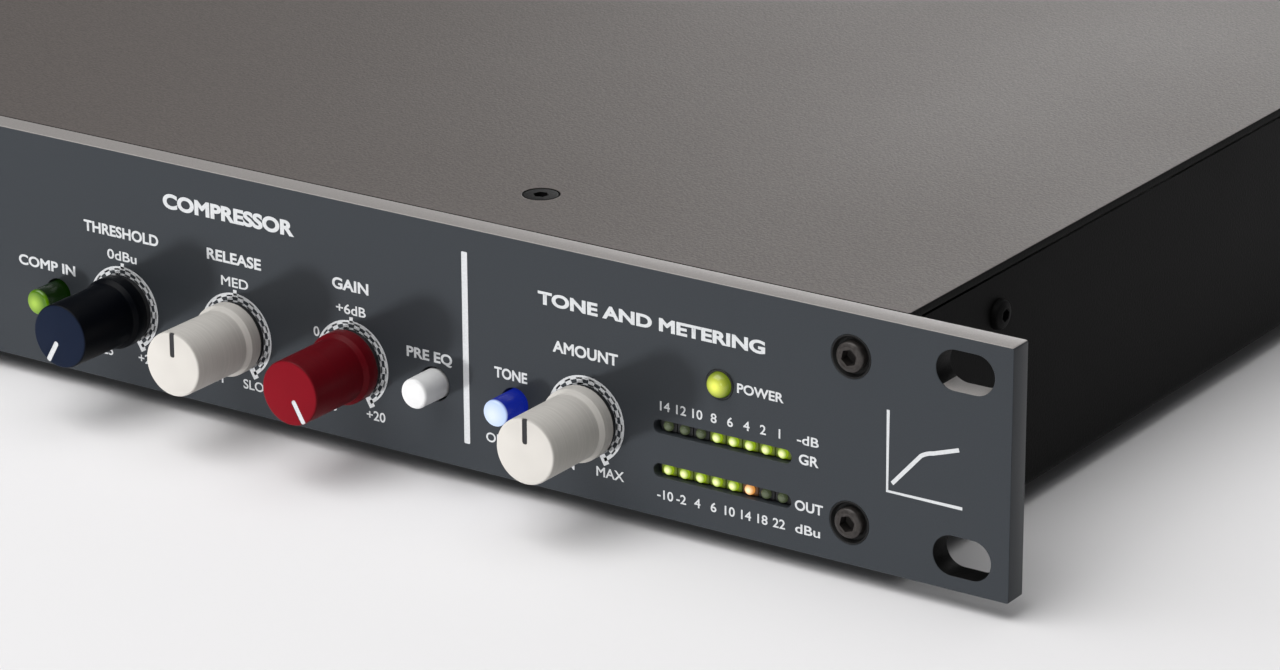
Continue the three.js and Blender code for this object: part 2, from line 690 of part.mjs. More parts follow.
// Low round-headed screw through the side wall into the cover's flange.
function addSideScrews() {
  const body = turned([
    [0, -SIDE_SCREW_LENGTH],
    [SHANK_RADIUS, -SIDE_SCREW_LENGTH],
    [SHANK_RADIUS, GAP],
    [SIDE_SCREW_RADIUS, GAP],
    [SIDE_SCREW_CROWN_RADIUS, SIDE_SCREW_REACH],
    [0, SIDE_SCREW_REACH],
  ], 12);
  const mouth = -SIDE_SCREW_REACH - THROUGH;
  const geometry = cut(body, hexSocket(SIDE_SCREW_SOCKET_RADIUS, mouth, -SIDE_SCREW_SOCKET_BOTTOM));
  for (const { side, sign } of SIDES) {
    const x = sign * CASE_HALF_WIDTH;
    const name = `side_screw_${side}`;
    const screw = addPiece(name, geometry, FINISHES.screw, x, SIDE_SCREW_Y, SIDE_SCREW_Z);
    screw.rotation.z = (sign * Math.PI) / 2;
  }
}

function addFeet() {
  const foot = rodAlongZ(FOOT_RADIUS, -FOOT_HEIGHT, -GAP, 0, 0, 24);
  for (const { side, sign } of SIDES) {
    addPiece(`foot_${side}_front`, foot, FINISHES.rubber, sign * FOOT_X, FOOT_FRONT_Y);
    addPiece(`foot_${side}_back`, foot, FINISHES.rubber, sign * FOOT_X, FOOT_BACK_Y);
  }
}

// ---- Inside -------------------------------------------------------------------------------

// Upright board behind the panel, with a pot behind each knob and a switch behind each button.
function addControlBoard() {
  const board = block(
    [CONTROL_BOARD_LEFT, CONTROL_BOARD_FRONT, CONTROL_BOARD_LOW],
    [CONTROL_BOARD_RIGHT, CONTROL_BOARD_FRONT + BOARD_THICKNESS, CONTROL_BOARD_HIGH],
  );
  const weld = CONTROL_BOARD_FRONT + WELD;
  const pots = KNOBS.map(({ x }) =>
    block(
      [x - POT_HALF_WIDTH, POT_FRONT, CONTROL_Z - POT_DROP],
      [x + POT_HALF_WIDTH, weld, CONTROL_Z + POT_RISE],
    ),
  );
  const half = SWITCH_HALF_WIDTH;
  const switches = BUTTONS.map(({ x }) =>
    block([x - half, SWITCH_FRONT, BUTTON_Z - half], [x + half, weld, BUTTON_Z + half]),
  );
  addPiece("control_board", join(board, ...pots, ...switches), FINISHES.board);
}

// Flat board on pillars, with its capacitors and regulators.
function addMainBoard() {
  const top = MAIN_BOARD_Z + BOARD_THICKNESS;
  const foot = top - WELD;
  const board = block(
    [MAIN_BOARD_CORNER.left, MAIN_BOARD_CORNER.front, MAIN_BOARD_Z],
    [MAIN_BOARD_FAR_CORNER.right, MAIN_BOARD_FAR_CORNER.back, top],
  );
  const pillars = PILLAR_XS.flatMap((x) =>
    PILLAR_YS.map((y) => rodAlongZ(PILLAR_RADIUS, INNER_FLOOR, foot, x, y, 12)),
  );
  const capacitors = CAPACITOR_XS.map((x) =>
    rodAlongZ(CAPACITOR_RADIUS, foot, CAPACITOR_TOP, x, CAPACITOR_Y, 16),
  );
  const regulators = REGULATOR_XS.map((x) =>
    block(
      [x, REGULATOR_Y, foot],
      [x + REGULATOR_WIDTH, REGULATOR_Y + REGULATOR_DEPTH, REGULATOR_TOP],
    ),
  );
  const geometry = join(board, ...pillars, ...capacitors, ...regulators);
  addPiece("main_board", geometry, FINISHES.board);
}

function addTransformers() {
  const { inward, down } = TOROID_SHOULDER;
  const ring = turned([
    [TOROID_HOLE_RADIUS, 0],
    [TOROID_RADIUS - inward, 0],
    [TOROID_RADIUS, down],
    [TOROID_RADIUS, TOROID_HEIGHT - down],
    [TOROID_RADIUS - inward, TOROID_HEIGHT],
    [TOROID_HOLE_RADIUS, TOROID_HEIGHT],
    [TOROID_HOLE_RADIUS, 0],
  ]).rotateX(-Math.PI / 2);
  const { transformer, can } = FINISHES;
  addPiece("mains_transformer", ring, transformer, TOROID_X, TRANSFORMER_Y, INNER_FLOOR);
  const shell = rodAlongZ(CAN_RADIUS, MAIN_BOARD_Z + BOARD_THICKNESS + GAP, CAN_TOP);
  addPiece("input_transformer", shell, can, INPUT_CAN_X, TRANSFORMER_Y);
  addPiece("output_transformer", shell, can, OUTPUT_CAN_X, TRANSFORMER_Y);
}

// ---- Rear connectors ----------------------------------------------------------------------

function connectorBody() {
  const flange = block(
    [-FLANGE_WIDTH / 2, CASE_BACK + GAP, -FLANGE_HEIGHT / 2],
    [FLANGE_WIDTH / 2, BEZEL_FACE, FLANGE_HEIGHT / 2],
  );
  const mouth = BEZEL_FACE - BEZEL_THICKNESS / 2;
  return join(flange, rodAlongY(CONNECTOR_BARREL_RADIUS, CASE_BACK - CONNECTOR_DEPTH, mouth));
}

// Round connectors: the sockets have a ring groove around their insert, the output is hollow.
function addAudioConnectors() {
  const outside = BEZEL_FACE + THROUGH;
  const cavityBottom = CASE_BACK - CONNECTOR_CAVITY_DEPTH;
  const groove = cut(
    rodAlongY(SOCKET_GROOVE.outer, cavityBottom, outside),
    rodAlongY(SOCKET_GROOVE.inner, cavityBottom - THROUGH, outside + THROUGH),
  );
  const socket = cut(connectorBody(), groove);
  const plug = cut(connectorBody(), rodAlongY(PLUG_CAVITY_RADIUS, cavityBottom, outside));
  const { socket: black } = FINISHES;
  addPiece("mic_input_socket", socket, black, MIC_SOCKET_X, 0, RACK_UNIT_MIDDLE);
  addPiece("line_input_socket", socket, black, LINE_SOCKET_X, 0, RACK_UNIT_MIDDLE);
  addPiece("output_connector", plug, black, OUTPUT_CONNECTOR_X, 0, RACK_UNIT_MIDDLE);
}

// Bezel on the rear panel with a body that goes through it, for the inlet and the switch.
function bezelledBody(bezel, body) {
  return join(
    block(
      [-bezel.width, CASE_BACK + GAP, -bezel.height],
      [bezel.width, BEZEL_FACE, bezel.height],
    ),
    block(
      [-body.width, CASE_BACK - body.depth, -body.height],
      [body.width, BEZEL_FACE - BODY_SETBACK, body.height],
    ),
  );
}

function addPowerInlet() {
  const { width, height, chamfer } = INLET_CAVITY;
  const mouth = new THREE.Shape();
  mouth.moveTo(-width, -height);
  mouth.lineTo(width, -height);
  mouth.lineTo(width, height - chamfer);
  mouth.lineTo(width - chamfer, height);
  mouth.lineTo(chamfer - width, height);
  mouth.lineTo(-width, height - chamfer);
  mouth.closePath();
  const bottom = CASE_BACK - CONNECTOR_CAVITY_DEPTH;
  const cavity = plate(mouth, bottom, BEZEL_FACE + THROUGH - bottom);
  const geometry = cut(bezelledBody(INLET_BEZEL, INLET_BODY), cavity);
  addPiece("power_inlet", geometry, FINISHES.socket, INLET_X, 0, RACK_UNIT_MIDDLE);
}

function addPowerSwitch() {
  const halfWell = ROCKER_WIDTH / 2 + GAP;
  const wellRadius = ROCKER_RADIUS + ROCKER_CLEARANCE;
  const well = rodAlongX(wellRadius, -halfWell, halfWell, ROCKER_PIVOT_Y, 0, 32);
  const housing = cut(bezelledBody(SWITCH_BEZEL, SWITCH_BODY), well);
  addPiece("power_switch_housing", housing, FINISHES.socket, SWITCH_X, 0, RACK_UNIT_MIDDLE);
}

function addPowerRocker() {
  const section = new THREE.Shape();
  section.moveTo(0, ROCKER_MIDDLE);
  section.absarc(0, 0, ROCKER_RADIUS, Math.PI - ROCKER_ARM_ANGLE, 2 * Math.PI + ROCKER_ARM_ANGLE);
  section.closePath();
  const options = { depth: ROCKER_WIDTH, bevelEnabled: false, curveSegments: 12 };
  const rocker = new THREE.ExtrudeGeometry(section, options);
  rocker.translate(0, 0, -ROCKER_WIDTH / 2);
  // The section's width becomes Z and its height stays Y, then the upper end is pressed in.
  rocker.rotateY(-Math.PI / 2).rotateX(ROCKER_TILT);
  addPiece("power_rocker", rocker, FINISHES.rocker, SWITCH_X, ROCKER_PIVOT_Y, RACK_UNIT_MIDDLE);
}

// ---- Assembly -----------------------------------------------------------------------------

addFrontPanel();
addPanelScrews();
addKnobs();
addButtons();
addPowerLed();
addMeters();
addBaseTray();
addTopCover();
addFrontRail();
addRearPanel();
addCoverScrews();
addSideScrews();
addFeet();
addControlBoard();
addMainBoard();
addTransformers();
addAudioConnectors();
addPowerInlet();
addPowerSwitch();
addPowerRocker();

const rackCompressor = new THREE.Group();
rackCompressor.add(unit);

export default rackCompressor;
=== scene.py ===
"""Looks for a one-unit rack compressor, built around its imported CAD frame.

Sizes are in millimetres and are turned into metres by MM. Places on the unit are told from the
front panel, as in the CAD: x from the panel's centre line, y behind its front face and z above
its bottom edge. Outlines of flat pieces lie in x and z; turned pieces stand on the y axis.
"""

import math

import bmesh
import bpy
from mathutils import Matrix, Vector


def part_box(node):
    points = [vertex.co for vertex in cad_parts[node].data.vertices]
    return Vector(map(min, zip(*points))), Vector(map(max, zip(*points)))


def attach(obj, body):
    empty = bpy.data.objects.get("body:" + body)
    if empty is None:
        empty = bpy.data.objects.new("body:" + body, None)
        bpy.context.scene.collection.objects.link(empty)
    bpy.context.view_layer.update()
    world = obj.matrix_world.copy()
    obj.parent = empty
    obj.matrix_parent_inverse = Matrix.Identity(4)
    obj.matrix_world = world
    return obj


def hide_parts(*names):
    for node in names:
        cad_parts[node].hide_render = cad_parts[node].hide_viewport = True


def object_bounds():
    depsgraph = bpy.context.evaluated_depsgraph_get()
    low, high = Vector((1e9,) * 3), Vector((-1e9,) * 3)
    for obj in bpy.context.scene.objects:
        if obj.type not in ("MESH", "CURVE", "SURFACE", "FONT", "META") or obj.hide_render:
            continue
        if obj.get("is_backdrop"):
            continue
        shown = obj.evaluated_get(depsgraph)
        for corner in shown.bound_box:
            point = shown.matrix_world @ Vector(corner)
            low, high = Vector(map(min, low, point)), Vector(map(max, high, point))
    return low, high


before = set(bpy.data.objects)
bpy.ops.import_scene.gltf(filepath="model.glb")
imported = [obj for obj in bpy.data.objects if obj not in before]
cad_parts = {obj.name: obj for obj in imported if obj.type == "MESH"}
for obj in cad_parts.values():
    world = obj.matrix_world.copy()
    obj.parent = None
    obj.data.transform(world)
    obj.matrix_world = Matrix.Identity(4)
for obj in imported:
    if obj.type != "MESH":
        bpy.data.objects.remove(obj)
CAD_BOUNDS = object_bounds()

MM = 0.001
PANEL_LOW, PANEL_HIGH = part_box("front_panel")
PANEL_WIDTH = (PANEL_HIGH.x - PANEL_LOW.x) / MM
PANEL_HEIGHT = (PANEL_HIGH.z - PANEL_LOW.z) / MM
PANEL_THICKNESS = (PANEL_HIGH.y - PANEL_LOW.y) / MM
CASE_HALF_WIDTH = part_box("base_tray")[1].x / MM
CASE_BACK = (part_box("base_tray")[1].y - PANEL_LOW.y) / MM
CASE_FRONT = PANEL_THICKNESS
SHEET = 1.5
GAP = 0.3
EDGE = 0.15  # bevel of a flat piece that doesn't name its own
UNDER_LID = PANEL_HEIGHT - SHEET - GAP
LED_PITCH = 3.2
CORNERS = [f"{side}_{row}" for side in ("left", "right") for row in ("front", "back")]


def at(x, y, z):
    """The row frame's point for a place told from the front panel."""
    return Vector((x * MM, PANEL_LOW.y + y * MM, PANEL_LOW.z + z * MM))


def place_of(node):
    """Centre of a CAD node in panel terms: (x, y, z) in millimetres."""
    low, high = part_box(node)
    middle = (low + high) / 2
    return (middle.x / MM, (middle.y - PANEL_LOW.y) / MM, (middle.z - PANEL_LOW.z) / MM)


# ---- Materials ----


class Finish:
    """A node material on one Principled shader, with helpers for grain in object space."""

    def __init__(self, name, color, roughness, metallic=0.0, specular=0.5):
        self.material = bpy.data.materials.new(name)
        self.material.use_nodes = True
        self.tree = self.material.node_tree
        self.shader = self.tree.nodes["Principled BSDF"]
        self.shader.inputs["Base Color"].default_value = (*color, 1)
        self.shader.inputs["Roughness"].default_value = roughness
        self.shader.inputs["Metallic"].default_value = metallic
        self.shader.inputs["Specular IOR Level"].default_value = specular
        self.color = color
        self.bump_before = None

    def node(self, kind, **values):
        made = self.tree.nodes.new(f"ShaderNode{kind}")
        for key, value in values.items():
            if key in made.inputs:
                made.inputs[key].default_value = value
            else:
                setattr(made, key, value)
        return made

    def link(self, source, target):
        self.tree.links.new(source, target)

    def coordinates(self, stretch=(1, 1, 1)):
        place = self.node("TexCoord")
        mapping = self.node("Mapping")
        mapping.inputs["Scale"].default_value = stretch
        self.link(place.outputs["Object"], mapping.inputs["Vector"])
        return mapping.outputs["Vector"]

    def noise(self, size_mm, detail=2.0, stretch=(1, 1, 1)):
        noise = self.node("TexNoise", Scale=1 / (size_mm * MM), Detail=detail)
        self.link(self.coordinates(stretch), noise.inputs["Vector"])
        return noise.outputs["Fac"]

    def spread(self, factor, low=0, high=1, from_low=0.3, from_high=0.7):
        ends = {"From Min": from_low, "From Max": from_high, "To Min": low, "To Max": high}
        ranged = self.node("MapRange", **ends)
        self.link(factor, ranged.inputs["Value"])
        return ranged.outputs["Result"]

    def blend(self, factor, first, second):
        """Mixes two colours, the first of which may be another node's output."""
        mix = self.node("Mix", data_type="RGBA")
        if isinstance(first, bpy.types.NodeSocket):
            self.link(first, mix.inputs["A"])
        else:
            mix.inputs["A"].default_value = (*first, 1)
        mix.inputs["B"].default_value = (*second, 1)
        self.link(factor, mix.inputs["Factor"])
        return mix.outputs["Result"]

    def tint(self, factor, dark, light):
        """Base colour between dark and light multiples of the finish's colour."""
        mixed = self.blend(factor, [c * dark for c in self.color], [c * light for c in self.color])
        self.link(mixed, self.shader.inputs["Base Color"])
        return self

    def rough(self, factor, low, high):
        self.link(self.spread(factor, low, high), self.shader.inputs["Roughness"])
        return self

    def bump(self, factor, height_mm, strength=1.0):
        bump = self.node("Bump", Strength=strength, Distance=height_mm * MM)
        self.link(factor, bump.inputs["Height"])
        if self.bump_before:
            self.link(self.bump_before, bump.inputs["Normal"])
        self.bump_before = bump.outputs["Normal"]
        self.link(self.bump_before, self.shader.inputs["Normal"])
        return self


def powder_coat(name, color, roughness, specular, grain_mm, relief_mm, contrast):
    """Textured paint: fine pimples, and colour that varies a little with them."""
    finish = Finish(name, color, roughness, specular=specular)
    grain = finish.noise(grain_mm, detail=3)
    finish.tint(finish.spread(grain), 1 - contrast, 1 + contrast)
    finish.bump(grain, relief_mm)
    finish.rough(finish.noise(60), roughness - 0.02, roughness + 0.02)
    return finish.material


def satin_plastic(name, color, roughness=0.38, coat=0.0):
    finish = Finish(name, color, roughness)
    cloud = finish.noise(3.0, detail=3)
    finish.tint(finish.spread(cloud), 0.96, 1.04)
    finish.rough(cloud, roughness - 0.04, roughness + 0.05)
    finish.bump(finish.noise(0.25), 0.006)
    finish.shader.inputs["Coat Weight"].default_value = coat
    finish.shader.inputs["Coat Roughness"].default_value = 0.2
    return finish.material


def turned_satin_painted_shade(name, color, side, specular=0.12, roughness=0.42):
    """Dyed turned metal with fine rings round y, and painted shade: its sides darker than its
    faces.
    """
    finish = Finish(name, color, roughness, specular=specular)
    place = finish.node("TexCoord")
    normal = finish.node("SeparateXYZ")
    finish.link(place.outputs["Normal"], normal.inputs["Vector"])
    # Painted shade: the less a face looks to the front, the more it takes the side share of the
    # colour.
    facing = finish.spread(normal.outputs["Y"], 1, 0, -0.97, -0.6)
    deep = [c * side for c in color]
    shaded = finish.blend(facing, deep, color)
    rings = finish.noise(0.22, detail=2, stretch=(0.02, 1, 0.02))
    grain = finish.node("VectorMath", operation="SCALE")
    finish.link(shaded, grain.inputs[0])
    finish.link(finish.spread(rings, 0.93, 1.06), grain.inputs["Scale"])
    finish.link(grain.outputs["Vector"], finish.shader.inputs["Base Color"])
    finish.rough(finish.noise(0.3), roughness - 0.03, roughness + 0.03)
    finish.bump(rings, 0.012)
    finish.bump(finish.noise(0.12), 0.004)
    return finish.material


def bare_metal(name, color, roughness, stretch=(1, 1, 1)):
    finish = Finish(name, color, roughness, metallic=1.0)
    brushed = finish.noise(0.4, detail=4, stretch=stretch)
    finish.tint(finish.spread(brushed), 0.85, 1.1)
    finish.rough(brushed, roughness - 0.07, roughness + 0.1)
    finish.bump(brushed, 0.004)
    return finish.material


def black_oxide(name):
    finish = Finish(name, (0.035, 0.031, 0.029), 0.35, metallic=0.5)
    wear = finish.noise(0.8, detail=4)
    finish.tint(finish.spread(wear), 0.7, 1.6)
    finish.rough(wear, 0.32, 0.5)
    finish.bump(finish.noise(0.15), 0.004)
    return finish.material


def printed_white(name):
    finish = Finish(name, (0.5, 0.51, 0.52), 0.5, specular=0.3)
    ink = finish.noise(0.35, detail=3)
    finish.tint(finish.spread(ink), 0.9, 1.05)
    finish.bump(ink, 0.004)
    return finish.material


def wrapped(finish, across, pitch_mm):
    """Brings x into the first stretch of a row of stretches, each one pitch long."""
    wrap = finish.node("Math", operation="WRAP")
    wrap.inputs[1].default_value = pitch_mm * MM
    wrap.inputs[2].default_value = 0
    finish.link(across, wrap.inputs[0])
    return wrap.outputs["Value"]


def distance_from(finish, spot, across, upward):
    """How far a point is from a spot (x, z), measured in x and z."""
    flat = finish.node("CombineXYZ")
    finish.link(across, flat.inputs["X"])
    finish.link(upward, flat.inputs["Z"])
    distance = finish.node("VectorMath", operation="DISTANCE")
    distance.inputs[1].default_value = (spot[0] * MM, 0, spot[1] * MM)
    finish.link(flat.outputs["Vector"], distance.inputs[0])
    return distance.outputs["Value"]


def lamp(name, core, rim, strength, radius_mm, spot=(0, 0), side=None, face_mm=0, pitch_mm=None):
    """Lens lit from behind: bright at a spot of its face and dimmer to its rim and sides.

    Distances run in object space, from the spot in x and z, or from the nearest of a row of
    spots at a pitch along x. Whatever stands behind face_mm in front of the origin has the
    side's colour.
    """
    unlit_share, core_share, fade_mm = 0.3, 0.15, 0.6
    finish = Finish(name, [c * unlit_share for c in side or rim], 0.25)
    place = finish.node("SeparateXYZ")
    finish.link(finish.coordinates(), place.inputs["Vector"])
    across = place.outputs["X"]
    if pitch_mm:
        across = wrapped(finish, across, pitch_mm)
        spot = (pitch_mm / 2, spot[1])
    distance = distance_from(finish, spot, across, place.outputs["Z"])
    outward = finish.spread(distance, 0, 1, radius_mm * MM * core_share, radius_mm * MM)
    color = finish.blend(outward, core, rim)
    if side:
        behind = finish.spread(place.outputs["Y"], 0, 1, -face_mm * MM, (fade_mm - face_mm) * MM)
        color = finish.blend(behind, color, side)
    finish.link(color, finish.shader.inputs["Emission Color"])
    finish.shader.inputs["Emission Strength"].default_value = strength
    finish.bump(finish.noise(0.4), 0.006)
    return finish.material


def row_lamp(name, core, rim, strength, radius_mm):
    return lamp(name, core, rim, strength, radius_mm, pitch_mm=LED_PITCH)


def circuit_board(name):
    finish = Finish(name, (0.01, 0.11, 0.04), 0.35)
    traces = finish.noise(3, detail=1, stretch=(1, 0.2, 1))
    finish.tint(finish.spread(traces, 0, 1, 0.45, 0.55), 0.8, 1.4)
    finish.bump(traces, 0.03)
    return finish.material


def wound_film(name):
    finish = Finish(name, (0.45, 0.2, 0.03), 0.25)
    wraps = finish.noise(2, detail=2, stretch=(1, 1, 0.1))
    finish.tint(finish.spread(wraps), 0.6, 1.2)
    finish.bump(wraps, 0.2)
    return finish.material


def rubber(name):
    finish = Finish(name, (0.012, 0.012, 0.012), 0.85)
    finish.bump(finish.noise(0.3, detail=3), 0.03)
    finish.rough(finish.noise(2), 0.75, 0.9)
    return finish.material


FINE = {"grain_mm": 0.22, "relief_mm": 0.008, "contrast": 0.08}
PANEL = powder_coat("panel_paint", (0.031, 0.035, 0.040), 0.34, 0.16, **FINE)
# Lighter coat for the panel's up-facing faces: painted light from above.
PAINTED_TOP_LIGHT = powder_coat("panel_painted_top_light", (0.265, 0.25, 0.24), 0.5, 0.12, **FINE)
# Lighter colour for the lid's top, a painted sheen; its cut edges use the case's black.
COVER_PAINTED_SHEEN = powder_coat("cover_coat_painted_sheen", (0.086, 0.073, 0.067), 0.6, 0.3,
                    grain_mm=0.5, relief_mm=0.06, contrast=0.2)
BLACK = powder_coat("case_coat", (0.0045, 0.0045, 0.0045), 0.5, 0.05,
                    grain_mm=0.5, relief_mm=0.04, contrast=0.2)
SCREW = black_oxide("black_oxide")
# A knob's side is the share of its colour left on its sides, as painted shade.
CREAM = turned_satin_painted_shade("knob_cream", (0.48, 0.46, 0.43), side=0.95, specular=0.2, roughness=0.5)
RED = turned_satin_painted_shade("knob_red", (0.15, 0.003, 0.008), side=0.6, specular=0.08)
NAVY = turned_satin_painted_shade("knob_navy", (0.005, 0.009, 0.022), side=0.1, specular=0.08)
WHITE = satin_plastic("button_white", (0.62, 0.62, 0.62), 0.4)
PRINT = printed_white("panel_print")
INK = satin_plastic("pointer_dark", (0.012, 0.012, 0.014))
GREEN_BUTTON = lamp("button_green", (0.5, 0.76, 0.09), (0.09, 0.22, 0.0), strength=0.85,
                    radius_mm=2.3, spot=(-0.6, -0.3), side=(0.002, 0.01, 0.0), face_mm=5.8)
BLUE_BUTTON = lamp("button_blue", (0.85, 0.95, 1.0), (0.5, 0.66, 1.0), strength=0.95,
                   radius_mm=3.4, spot=(-0.4, -0.3), side=(0.004, 0.012, 0.20), face_mm=5.8)
LAMP = lamp("power_lamp", (0.95, 1.0, 0.14), (0.05, 0.09, 0.0), strength=1.0, radius_mm=2.3,
            spot=(0.0, 0.1))
LED_GREEN = row_lamp("led_green", (1.0, 1.0, 0.55), (0.2, 0.3, 0.01), 1.15, 0.85)
LED_AMBER = row_lamp("led_amber", (1.0, 0.85, 0.55), (0.5, 0.2, 0.04), 1.25, 0.9)
# Unlit lenses still glow dimly: painted light.
LED_OFF_PAINTED_GLOW = row_lamp("led_off_painted_glow", (0.10, 0.12, 0.07), (0.035, 0.045, 0.02), 0.9, 0.95)
# Squares of the bar glow with painted light, as if lit by their lenses.
GREEN_PAINTED_GLOW = row_lamp("green_painted_glow", (0.2, 0.28, 0.0), (0.02, 0.03, 0.0), 1.1, 1.7)
AMBER_PAINTED_GLOW = row_lamp("amber_painted_glow", (0.3, 0.1, 0.02), (0.02, 0.008, 0.0), 0.7, 1.7)
DARK = satin_plastic("moulded_black", (0.01, 0.01, 0.011), 0.5)
PIT = satin_plastic("blackened_cup", (0.003, 0.003, 0.003), 0.7)
GLOSS = satin_plastic("rocker_gloss", (0.008, 0.008, 0.009), 0.2, coat=0.5)
STEEL = bare_metal("turned_aluminium", (0.6, 0.6, 0.6), 0.3)
BARE = bare_metal("extruded_aluminium", (0.55, 0.55, 0.56), 0.35, (0.02, 1, 1))
CONTACT = bare_metal("contact_silver", (0.75, 0.74, 0.7), 0.22)
CAN = bare_metal("drawn_can", (0.5, 0.5, 0.52), 0.3, (1, 1, 0.05))
BOARD = circuit_board("circuit_board")
WINDING = wound_film("wound_film")
RUBBER = rubber("foot_rubber")


# ---- Mesh helpers ----


def rotation(degrees, axis):
    return Matrix.Rotation(math.radians(degrees), 4, axis)


def in_scene(name, data):
    """A new object in the scene that holds the data."""
    made = bpy.data.objects.new(name, data)
    bpy.context.scene.collection.objects.link(made)
    return made


def dressed(mesh, material):
    mesh.materials.clear()
    mesh.materials.append(material)
    return mesh


def add_piece(name, mesh, slot, replaces=(), place=(0, 0, 0), body="case", turn=0):
    """Puts a mesh in the scene on its body, and hides the CAD nodes that it stands in for.

    Its place is told from the front panel, and its turn is in degrees clockwise about y.
    """
    piece = in_scene(name, mesh)
    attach(piece, body)
    if replaces:
        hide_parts(*replaces)
    piece.matrix_world = Matrix.Translation(at(*place)) @ rotation(turn, "Y")


def shaded(mesh, sharp_degrees):
    """Smooth shading, except over edges that turn by more than an angle."""
    mesh.shade_smooth()
    mesh.set_sharp_from_angle(angle=math.radians(sharp_degrees))
    return mesh


def finished(bm, name):
    bmesh.ops.remove_doubles(bm, verts=bm.verts, dist=1e-7)
    bmesh.ops.recalc_face_normals(bm, faces=bm.faces)
    mesh = bpy.data.meshes.new(name)
    bm.to_mesh(mesh)
    bm.free()
    return shaded(mesh, 35)


def evaluated_mesh(holder):
    """A new mesh of what an object comes to, with its modifiers applied."""
    bpy.context.view_layer.update()
    evaluated = holder.evaluated_get(bpy.context.evaluated_depsgraph_get())
    return bpy.data.meshes.new_from_object(evaluated)


def filleted(corners, steps=6):
    """Outline of corners (a, b, radius), each rounded to its radius, or (a, b) for a sharp one."""
    points = []
    count = len(corners)
    for i, (a, b, *rounding) in enumerate(corners):
        here = Vector((a, b))
        if not rounding:
            points.append((a, b))
            continue
        radius = rounding[0]
        before = Vector(corners[i - 1][:2]) - here
        after = Vector(corners[(i + 1) % count][:2]) - here
        half = before.angle(after) / 2
        reach = radius / math.tan(half)
        start = here + before.normalized() * reach
        end = here + after.normalized() * reach
        middle = here + (before.normalized() + after.normalized()).normalized() * (
            radius / math.sin(half)
        )
        for k in range(steps + 1):
            spoke = (start - middle).slerp(end - middle, k / steps)
            points.append(tuple(middle + spoke * radius))
    return points


def turned(name, corners, segments=64, steps=5):
    """Lathe mesh on the y axis, from corners (radius, height towards the front, fillet)."""
    profile = filleted(corners, steps)
    bm = bmesh.new()
    chain = [bm.verts.new((r * MM, -h * MM, 0)) for r, h in profile]
    edges = [bm.edges.new(pair) for pair in zip(chain, chain[1:])]
    bmesh.ops.spin(
        bm, geom=chain + edges, cent=(0, 0, 0), axis=(0, 1, 0),
        angle=math.tau, steps=segments, use_duplicate=False,
    )
    return finished(bm, name)


def circle(x, z, radius, segments=48, turn=0.0):
    angles = [turn + math.tau * k / segments for k in range(segments)]
    return [(x + radius * math.cos(a), z + radius * math.sin(a)) for a in angles]


def rounded_box(x0, z0, x1, z1, radius, steps=6):
    corners = [(x0, z0, radius), (x1, z0, radius), (x1, z1, radius), (x0, z1, radius)]
    return filleted(corners, steps)


def centred_box(half_width, half_height, radius, x=0.0, z=0.0, steps=6):
    return rounded_box(x - half_width, z - half_height, x + half_width, z + half_height, radius,
                       steps)


def slot_outline(x, z, length, height):
    """Round-ended slot."""
    return centred_box(length / 2, height / 2, height / 2 - 1e-4, x, z, steps=14)


def plate(name, outlines, front, back, edge=EDGE):
    """Flat plate in x and z between two depths, with holes and bevelled edges."""
    curve = bpy.data.curves.new(name, "CURVE")
    curve.dimensions = "2D"
    curve.fill_mode = "BOTH"
    for outline in outlines:
        spline = curve.splines.new("POLY")
        spline.points.add(len(outline) - 1)
        for point, (x, z) in zip(spline.points, outline):
            point.co = (x, z, 0, 1)
        spline.use_cyclic_u = True
    thickness = back - front
    curve.extrude = thickness / 2 - edge
    curve.bevel_depth = edge
    curve.bevel_resolution = 2
    curve.offset = -edge
    shift = Matrix.Translation((0, front + thickness / 2, 0))
    return curve_mesh(name, curve, Matrix.Scale(MM, 4) @ shift @ rotation(90, "X"))


def curve_mesh(name, curve, placing):
    holder = in_scene(name, curve)
    mesh = evaluated_mesh(holder)
    bpy.data.objects.remove(holder)
    bpy.data.curves.remove(curve)
    mesh.transform(placing)
    mesh.name = name
    return shaded(mesh, 25)


def joined(name, meshes):
    """One mesh from several, keeping each one's materials."""
    bm = bmesh.new()
    whole = bpy.data.meshes.new(name)
    for mesh in meshes:
        first = len(whole.materials)
        for material in mesh.materials:
            whole.materials.append(material)
        before = len(bm.faces)
        bm.from_mesh(mesh)
        bm.faces.ensure_lookup_table()
        for face in bm.faces[before:]:
            face.material_index += first
        bpy.data.meshes.remove(mesh)
    bm.to_mesh(whole)
    bm.free()
    return whole


def shifted(mesh, x=0.0, y=0.0, z=0.0):
    mesh.transform(Matrix.Translation((x * MM, y * MM, z * MM)))
    return mesh


def block(name, low, high, edge=0.2):
    """Box between two corners in panel terms, with bevelled edges."""
    bm = bmesh.new()
    bmesh.ops.create_cube(bm, size=1)
    low, high = Vector(low), Vector(high)
    size = high - low
    middle = (low + high) / 2
    for vert in bm.verts:
        vert.co = Vector([(vert.co[i] * size[i] + middle[i]) * MM for i in range(3)])
    bmesh.ops.bevel(
        bm, geom=list(bm.edges), offset=edge * MM, segments=3, profile=0.5, affect="EDGES"
    )
    return finished(bm, name)


def carved(mesh, *cutters):
    """Cuts closed meshes out of another with Blender's exact boolean."""
    target = in_scene("carve_target", mesh)
    tools = []
    for cutter in cutters:
        tool = in_scene("carve_tool", cutter)
        modifier = target.modifiers.new("cut", "BOOLEAN")
        modifier.operation = "DIFFERENCE"
        modifier.solver = "EXACT"
        modifier.object = tool
        tools.append(tool)
    result = evaluated_mesh(target)
    for item in [target, *tools]:
        data = item.data
        bpy.data.objects.remove(item)
        bpy.data.meshes.remove(data)
    return shaded(result, 30)


